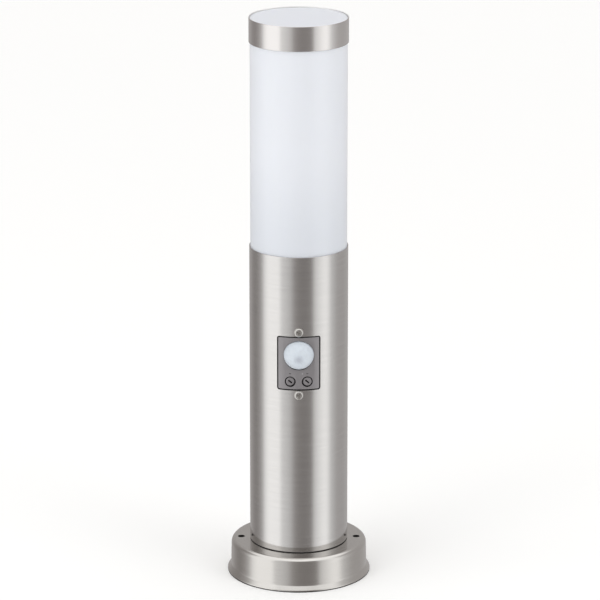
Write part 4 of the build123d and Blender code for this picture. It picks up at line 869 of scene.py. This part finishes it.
# a thin matt film of ink
dark_ink = grained("ink_pad_printed_dark", "#4A484B", roughness=0.6, grain_mm=0.4)
pale_ink = grained("ink_pad_printed_pale", "#C9C7CA", roughness=0.6, grain_mm=0.4)
MARK_RISE = 6.4
MARK_Z = DIAL_Z + MARK_RISE
printed("dial_ticks", [(-DIAL_X - 0.2, MARK_Z, 1.6, 0.7), (DIAL_X, MARK_Z, 1.6, 0.6)], dark_ink)
printed("dial_dot", [(2.8, MARK_Z, 0.7, 0.6)], pale_ink)

# ---------------------------------------------------------------- lamp carrier and holder
# A white polyester cup riveted in the tube's top, with bayonet channels in its wall. The screw
# lamp holder stands on its floor, with a nickel-plated shell and a sprung brass tongue inside.

finished("carrier_cup_moulding", "lamp_carrier", "post", "white_pbt", white_polyester, edge=0.3)
finished("holder_moulding", "holder_body", "post", "white_pbt", white_polyester, edge=0.25)
dress(nickel_plate, "holder_shell")
dress(brass, "holder_tongue")
dress(zinc_plate, "holder_screws")

# ---------------------------------------------------------------- lamp
# A round lamp: an opal plastic globe on a white moulded body, with a screw cap rolled from thin
# nickel-plated brass, a black glass insulator and a soldered centre contact.

def thread_tree():
    """Geometry nodes that roll a round right-hand thread into a thin sleeve's outer wall.

    Only the stretch between From and To, outside Inner Radius, is pressed in by up to Depth."""
    tree = bpy.data.node_groups.new("rolled_thread", "GeometryNodeTree")
    for label, kind in (("Geometry", "Geometry"), ("Pitch", "Float"), ("Depth", "Float"), ("From", "Float"),
                        ("To", "Float"), ("Run Out", "Float"), ("Inner Radius", "Float"),
                        ("Outer Radius", "Float"), ("Finish", "Material")):
        tree.interface.new_socket(label, in_out="INPUT", socket_type="NodeSocket" + kind)
    tree.interface.new_socket("Geometry", in_out="OUTPUT", socket_type="NodeSocketGeometry")
    size = add(tree, "NodeGroupInput").outputs
    place = add(tree, "GeometryNodeInputPosition").outputs[0]
    part = add(tree, "ShaderNodeSeparateXYZ", {0: place}).outputs
    flat = add(tree, "ShaderNodeCombineXYZ", {"X": part["X"], "Y": part["Y"]}).outputs[0]
    radius = add(tree, "ShaderNodeVectorMath", {0: flat}, operation="LENGTH").outputs["Value"]
    outward = add(tree, "ShaderNodeVectorMath", {0: flat}, operation="NORMALIZE").outputs[0]
    # the wave climbs one pitch a turn
    turns = add(tree, "ShaderNodeMath", {0: part["Z"], 1: size["Pitch"]}, operation="DIVIDE").outputs[0]
    climb = add(tree, "ShaderNodeMath", {0: turns, 1: 2 * math.pi}, operation="MULTIPLY").outputs[0]
    bearing = add(tree, "ShaderNodeMath", {0: part["Y"], 1: part["X"]}, operation="ARCTAN2").outputs[0]
    phase = add(tree, "ShaderNodeMath", {0: climb, 1: bearing}, operation="SUBTRACT").outputs[0]
    swing = add(tree, "ShaderNodeMath", {0: phase}, operation="COSINE").outputs[0]
    wave = add(tree, "ShaderNodeMath", {0: swing, 1: 0.5, 2: 0.5}, operation="MULTIPLY_ADD").outputs[0]
    # it fades out over Run Out at each end
    above = add(tree, "ShaderNodeMath", {0: part["Z"], 1: size["From"]}, operation="SUBTRACT").outputs[0]
    below = add(tree, "ShaderNodeMath", {0: size["To"], 1: part["Z"]}, operation="SUBTRACT").outputs[0]
    start = add(tree, "ShaderNodeMath", {0: above, 1: size["Run Out"]}, operation="DIVIDE").outputs[0]
    end = add(tree, "ShaderNodeMath", {0: below, 1: size["Run Out"]}, operation="DIVIDE").outputs[0]
    inside = add(tree, "ShaderNodeMath", {0: start, 1: end}, operation="MINIMUM", use_clamp=True).outputs[0]
    crest = add(tree, "ShaderNodeMath", {0: wave, 1: inside}, operation="MULTIPLY").outputs[0]
    # the wall is pressed in everywhere but at the crests, and only outside Inner Radius
    sleeve = add(tree, "ShaderNodeMapRange", {0: radius, 1: size["Inner Radius"],
                                              2: size["Outer Radius"]}).outputs[0]
    inwards = add(tree, "ShaderNodeMath", {0: size["Depth"], 1: -1.0}, operation="MULTIPLY").outputs[0]
    dent = add(tree, "ShaderNodeMath", {0: crest, 1: size["Depth"], 2: inwards},
               operation="MULTIPLY_ADD").outputs[0]
    pressed = add(tree, "ShaderNodeMath", {0: dent, 1: sleeve}, operation="MULTIPLY").outputs[0]
    move = add(tree, "ShaderNodeVectorMath", {0: outward, "Scale": pressed}, operation="SCALE").outputs[0]
    rolled = add(tree, "GeometryNodeSetPosition", {"Geometry": size["Geometry"], "Offset": move}).outputs[0]
    real = add(tree, "GeometryNodeRealizeInstances", {0: rolled}).outputs[0]
    painted = add(tree, "GeometryNodeSetMaterial", {"Geometry": real, "Material": size["Finish"]})
    add(tree, "NodeGroupOutput", {"Geometry": painted.outputs[0]})
    return tree


low, high = size_of("lamp_cap")
CAP_R = high.x
THREAD_PITCH, THREAD_DEPTH, CAP_WALL = 3.629, 0.55, 1.1
CAP_FOOT = 1.0                             # height of the rounding at the cap's foot
LEVELS = 84
wall_h = high.z - low.z - CAP_FOOT
cap_outline = [Vector((CAP_R, low.z + CAP_FOOT + wall_h * k / LEVELS)) for k in range(LEVELS + 1)]
cap_outline += [Vector(point) for point in (
    (CAP_R - CAP_WALL, high.z), (CAP_R - CAP_WALL, low.z + 1.4), (CAP_R - 2.6, low.z + 0.5),
    (CAP_R - 2.0, low.z), (CAP_R - 1.0, low.z + 0.3),
)]
cap = grown("rolled_screw_cap", thread_tree(), {
    "Pitch": THREAD_PITCH * MM, "Depth": THREAD_DEPTH * MM, "From": (low.z + 1.5) * MM,
    "To": (high.z - 3.0) * MM, "Run Out": 1.2 * MM, "Inner Radius": (CAP_R - 0.9) * MM,
    "Outer Radius": (CAP_R - 0.3) * MM, "Finish": nickel_plate,
}, turned("rolled_screw_cap", cap_outline, 144))
smooth(cap, 50)
fixed(keep("rolled_screw_cap", cap), "bulb", "nickel_plate", "lamp_cap")
# the globe lets light in and looks milky, the body is denser and glossier, and the glass is nearly
# a mirror
globe_plastic = grained("polycarbonate_moulded_opal_globe", "#EEF0EE", roughness=0.3, grain_mm=0.8,
                        grain=0.04, variation=0.01, scatter=0.4)
body_plastic = grained("polyester_moulded_white_gloss", "#EFEEEA", roughness=0.25, grain_mm=0.8,
                       grain=0.04, variation=0.01, scatter=0.1)
black_glass = grained("glass_fused_black", "#0E0E12", roughness=0.1, grain_mm=1.0, grain=0.05)
dress(globe_plastic, "lamp_globe")
dress(body_plastic, "lamp_body")
dress(black_glass, "lamp_insulator")
dress(nickel_plate, "lamp_contact")

# ---------------------------------------------------------------- shade
# One moulding of opal polycarbonate, closed at the top, with a narrower neck below that carries
# three bayonet lugs. Light goes a little way in and scatters, so it looks milky and soft.

# a satin skin with faint ripples over a milky wall, and broad faint clouds in its colour
opal, tree, shader = new_material("opal_polycarbonate_moulded")
place = add(tree, "ShaderNodeTexCoord").outputs["Object"]
CLOUDS_PER_METRE = 14.0
SHADED_BELOW, LIT_ABOVE = 262.0, 350.0     # mm above the ground
cloud = add(tree, "ShaderNodeTexNoise", {"Vector": place, "Scale": CLOUDS_PER_METRE,
                                         "Detail": 2.0}).outputs["Fac"]
# painted shade: the wall's tint is darker towards its foot, where the holder and the tube below it let less
# light through
height = add(tree, "ShaderNodeSeparateXYZ", {0: place}).outputs["Z"]
level = add(tree, "ShaderNodeMapRange", {0: height, 1: SHADED_BELOW * MM, 2: LIT_ABOVE * MM, 3: 0.0, 4: 0.8},
            interpolation_type="SMOOTHSTEP").outputs[0]
mottle = add(tree, "ShaderNodeMath", {0: cloud, 1: 0.2}, operation="MULTIPLY").outputs[0]
level = add(tree, "ShaderNodeMath", {0: level, 1: mottle}, operation="ADD").outputs[0]
tint = add(tree, "ShaderNodeValToRGB", {0: level})
fill_ramp(tint, [(0.0, linear("#DBDFE6")), (1.0, linear("#E9ECF3"))], "LINEAR")
RIPPLE = 1.6
fine = add(tree, "ShaderNodeTexNoise", {"Vector": place, "Scale": 1 / (RIPPLE * MM), "Detail": 1.0})
bump = add(tree, "ShaderNodeBump", {"Strength": 0.03, "Distance": 0.01 * MM, "Height": fine.outputs["Fac"]})
fill(tree, shader, {
    "Base Color": tint.outputs[0], "Normal": bump.outputs[0], "Roughness": 0.28, "IOR": 1.58,
    "Subsurface Weight": 0.3, "Subsurface Radius": (1.0, 1.0, 1.1), "Subsurface Scale": 2.5 * MM,
})
dress(opal, "shade")

# ---------------------------------------------------------------- shade band
# A ring cut from the same tube, brushed a little brighter, pressed and bonded over the shade's top.

low, high = size_of("top_band")
# a finer brush leaves the band paler, with fainter lines
band_steel = brushed_steel("stainless_steel_band_brushed_fine", "#DAD7D5", contrast=0.6, roughness=0.14)
BAND_BORE = high.x - TUBE_WALL
band_outline = rounded([
    (BAND_BORE, low.z), (high.x, low.z, 0.2), (high.x, high.z, 0.3), (BAND_BORE, high.z, 0.25),
], hold=0.1)
band = keep("shade_band", turned("shade_band", band_outline, 288), band_steel)
# painted highlight: the cut edge and the inside are ground, and take a paler steel than the band so they
# show as bright as the pale top of the shade
painted_bright_edge_steel = grained("stainless_steel_ground_painted_bright", "#F1F0EF", roughness=0.5, grain_mm=0.4, grain=0.1,
                     metallic=1.0)
band.data.materials.append(painted_bright_edge_steel)
for face in band.data.polygons:
    if face.normal.x * face.center.x + face.normal.y * face.center.y < 0 or face.normal.z > 0.9:
        face.material_index = 1
fixed(band, "shade", "stainless", "top_band")

# ---------------------------------------------------------------- shade seal
# A ring cut from clear silicone sheet, squeezed between the shade's shoulder and the carrier.

# cloudy, with a dull skin where the blade went through
silicone = grained("silicone_cut_clear", "#C9CBCB", roughness=0.4, grain_mm=1.0, grain=0.05, scatter=0.4)
finished("shade_silicone_ring", "shade_seal", "shade_seal", "clear_silicone", silicone, edge=0.3)

# ---------------------------------------------------------------- leads
# Copper leads with extruded PVC insulation: brown live, blue neutral, and green with a yellow
# stripe for earth. The extruder leaves a smooth skin with a slight sheen.

brown_pvc = grained("pvc_extruded_brown", "#5B3420", roughness=0.4, grain_mm=1.0, grain=0.05)
blue_pvc = grained("pvc_extruded_blue", "#2C57A0", roughness=0.4, grain_mm=1.0, grain=0.05)
dress(brown_pvc, "sensor_live_lead", "lamp_live_lead")
dress(blue_pvc, "sensor_neutral_lead", "lamp_neutral_lead")
striped_pvc, tree, shader = new_material("pvc_extruded_green_yellow")
side = add(tree, "ShaderNodeTexCoord").outputs["Normal"]
up = add(tree, "ShaderNodeSeparateXYZ", {0: side}).outputs["Z"]
stripe = add(tree, "ShaderNodeValToRGB", {0: up})
fill_ramp(stripe, [(0.0, linear("#2F7D3A")), (0.45, linear("#D9C52B"))], "CONSTANT")
fill(tree, shader, {"Base Color": stripe.outputs[0], "Roughness": 0.4})
dress(striped_pvc, "earth_lead")
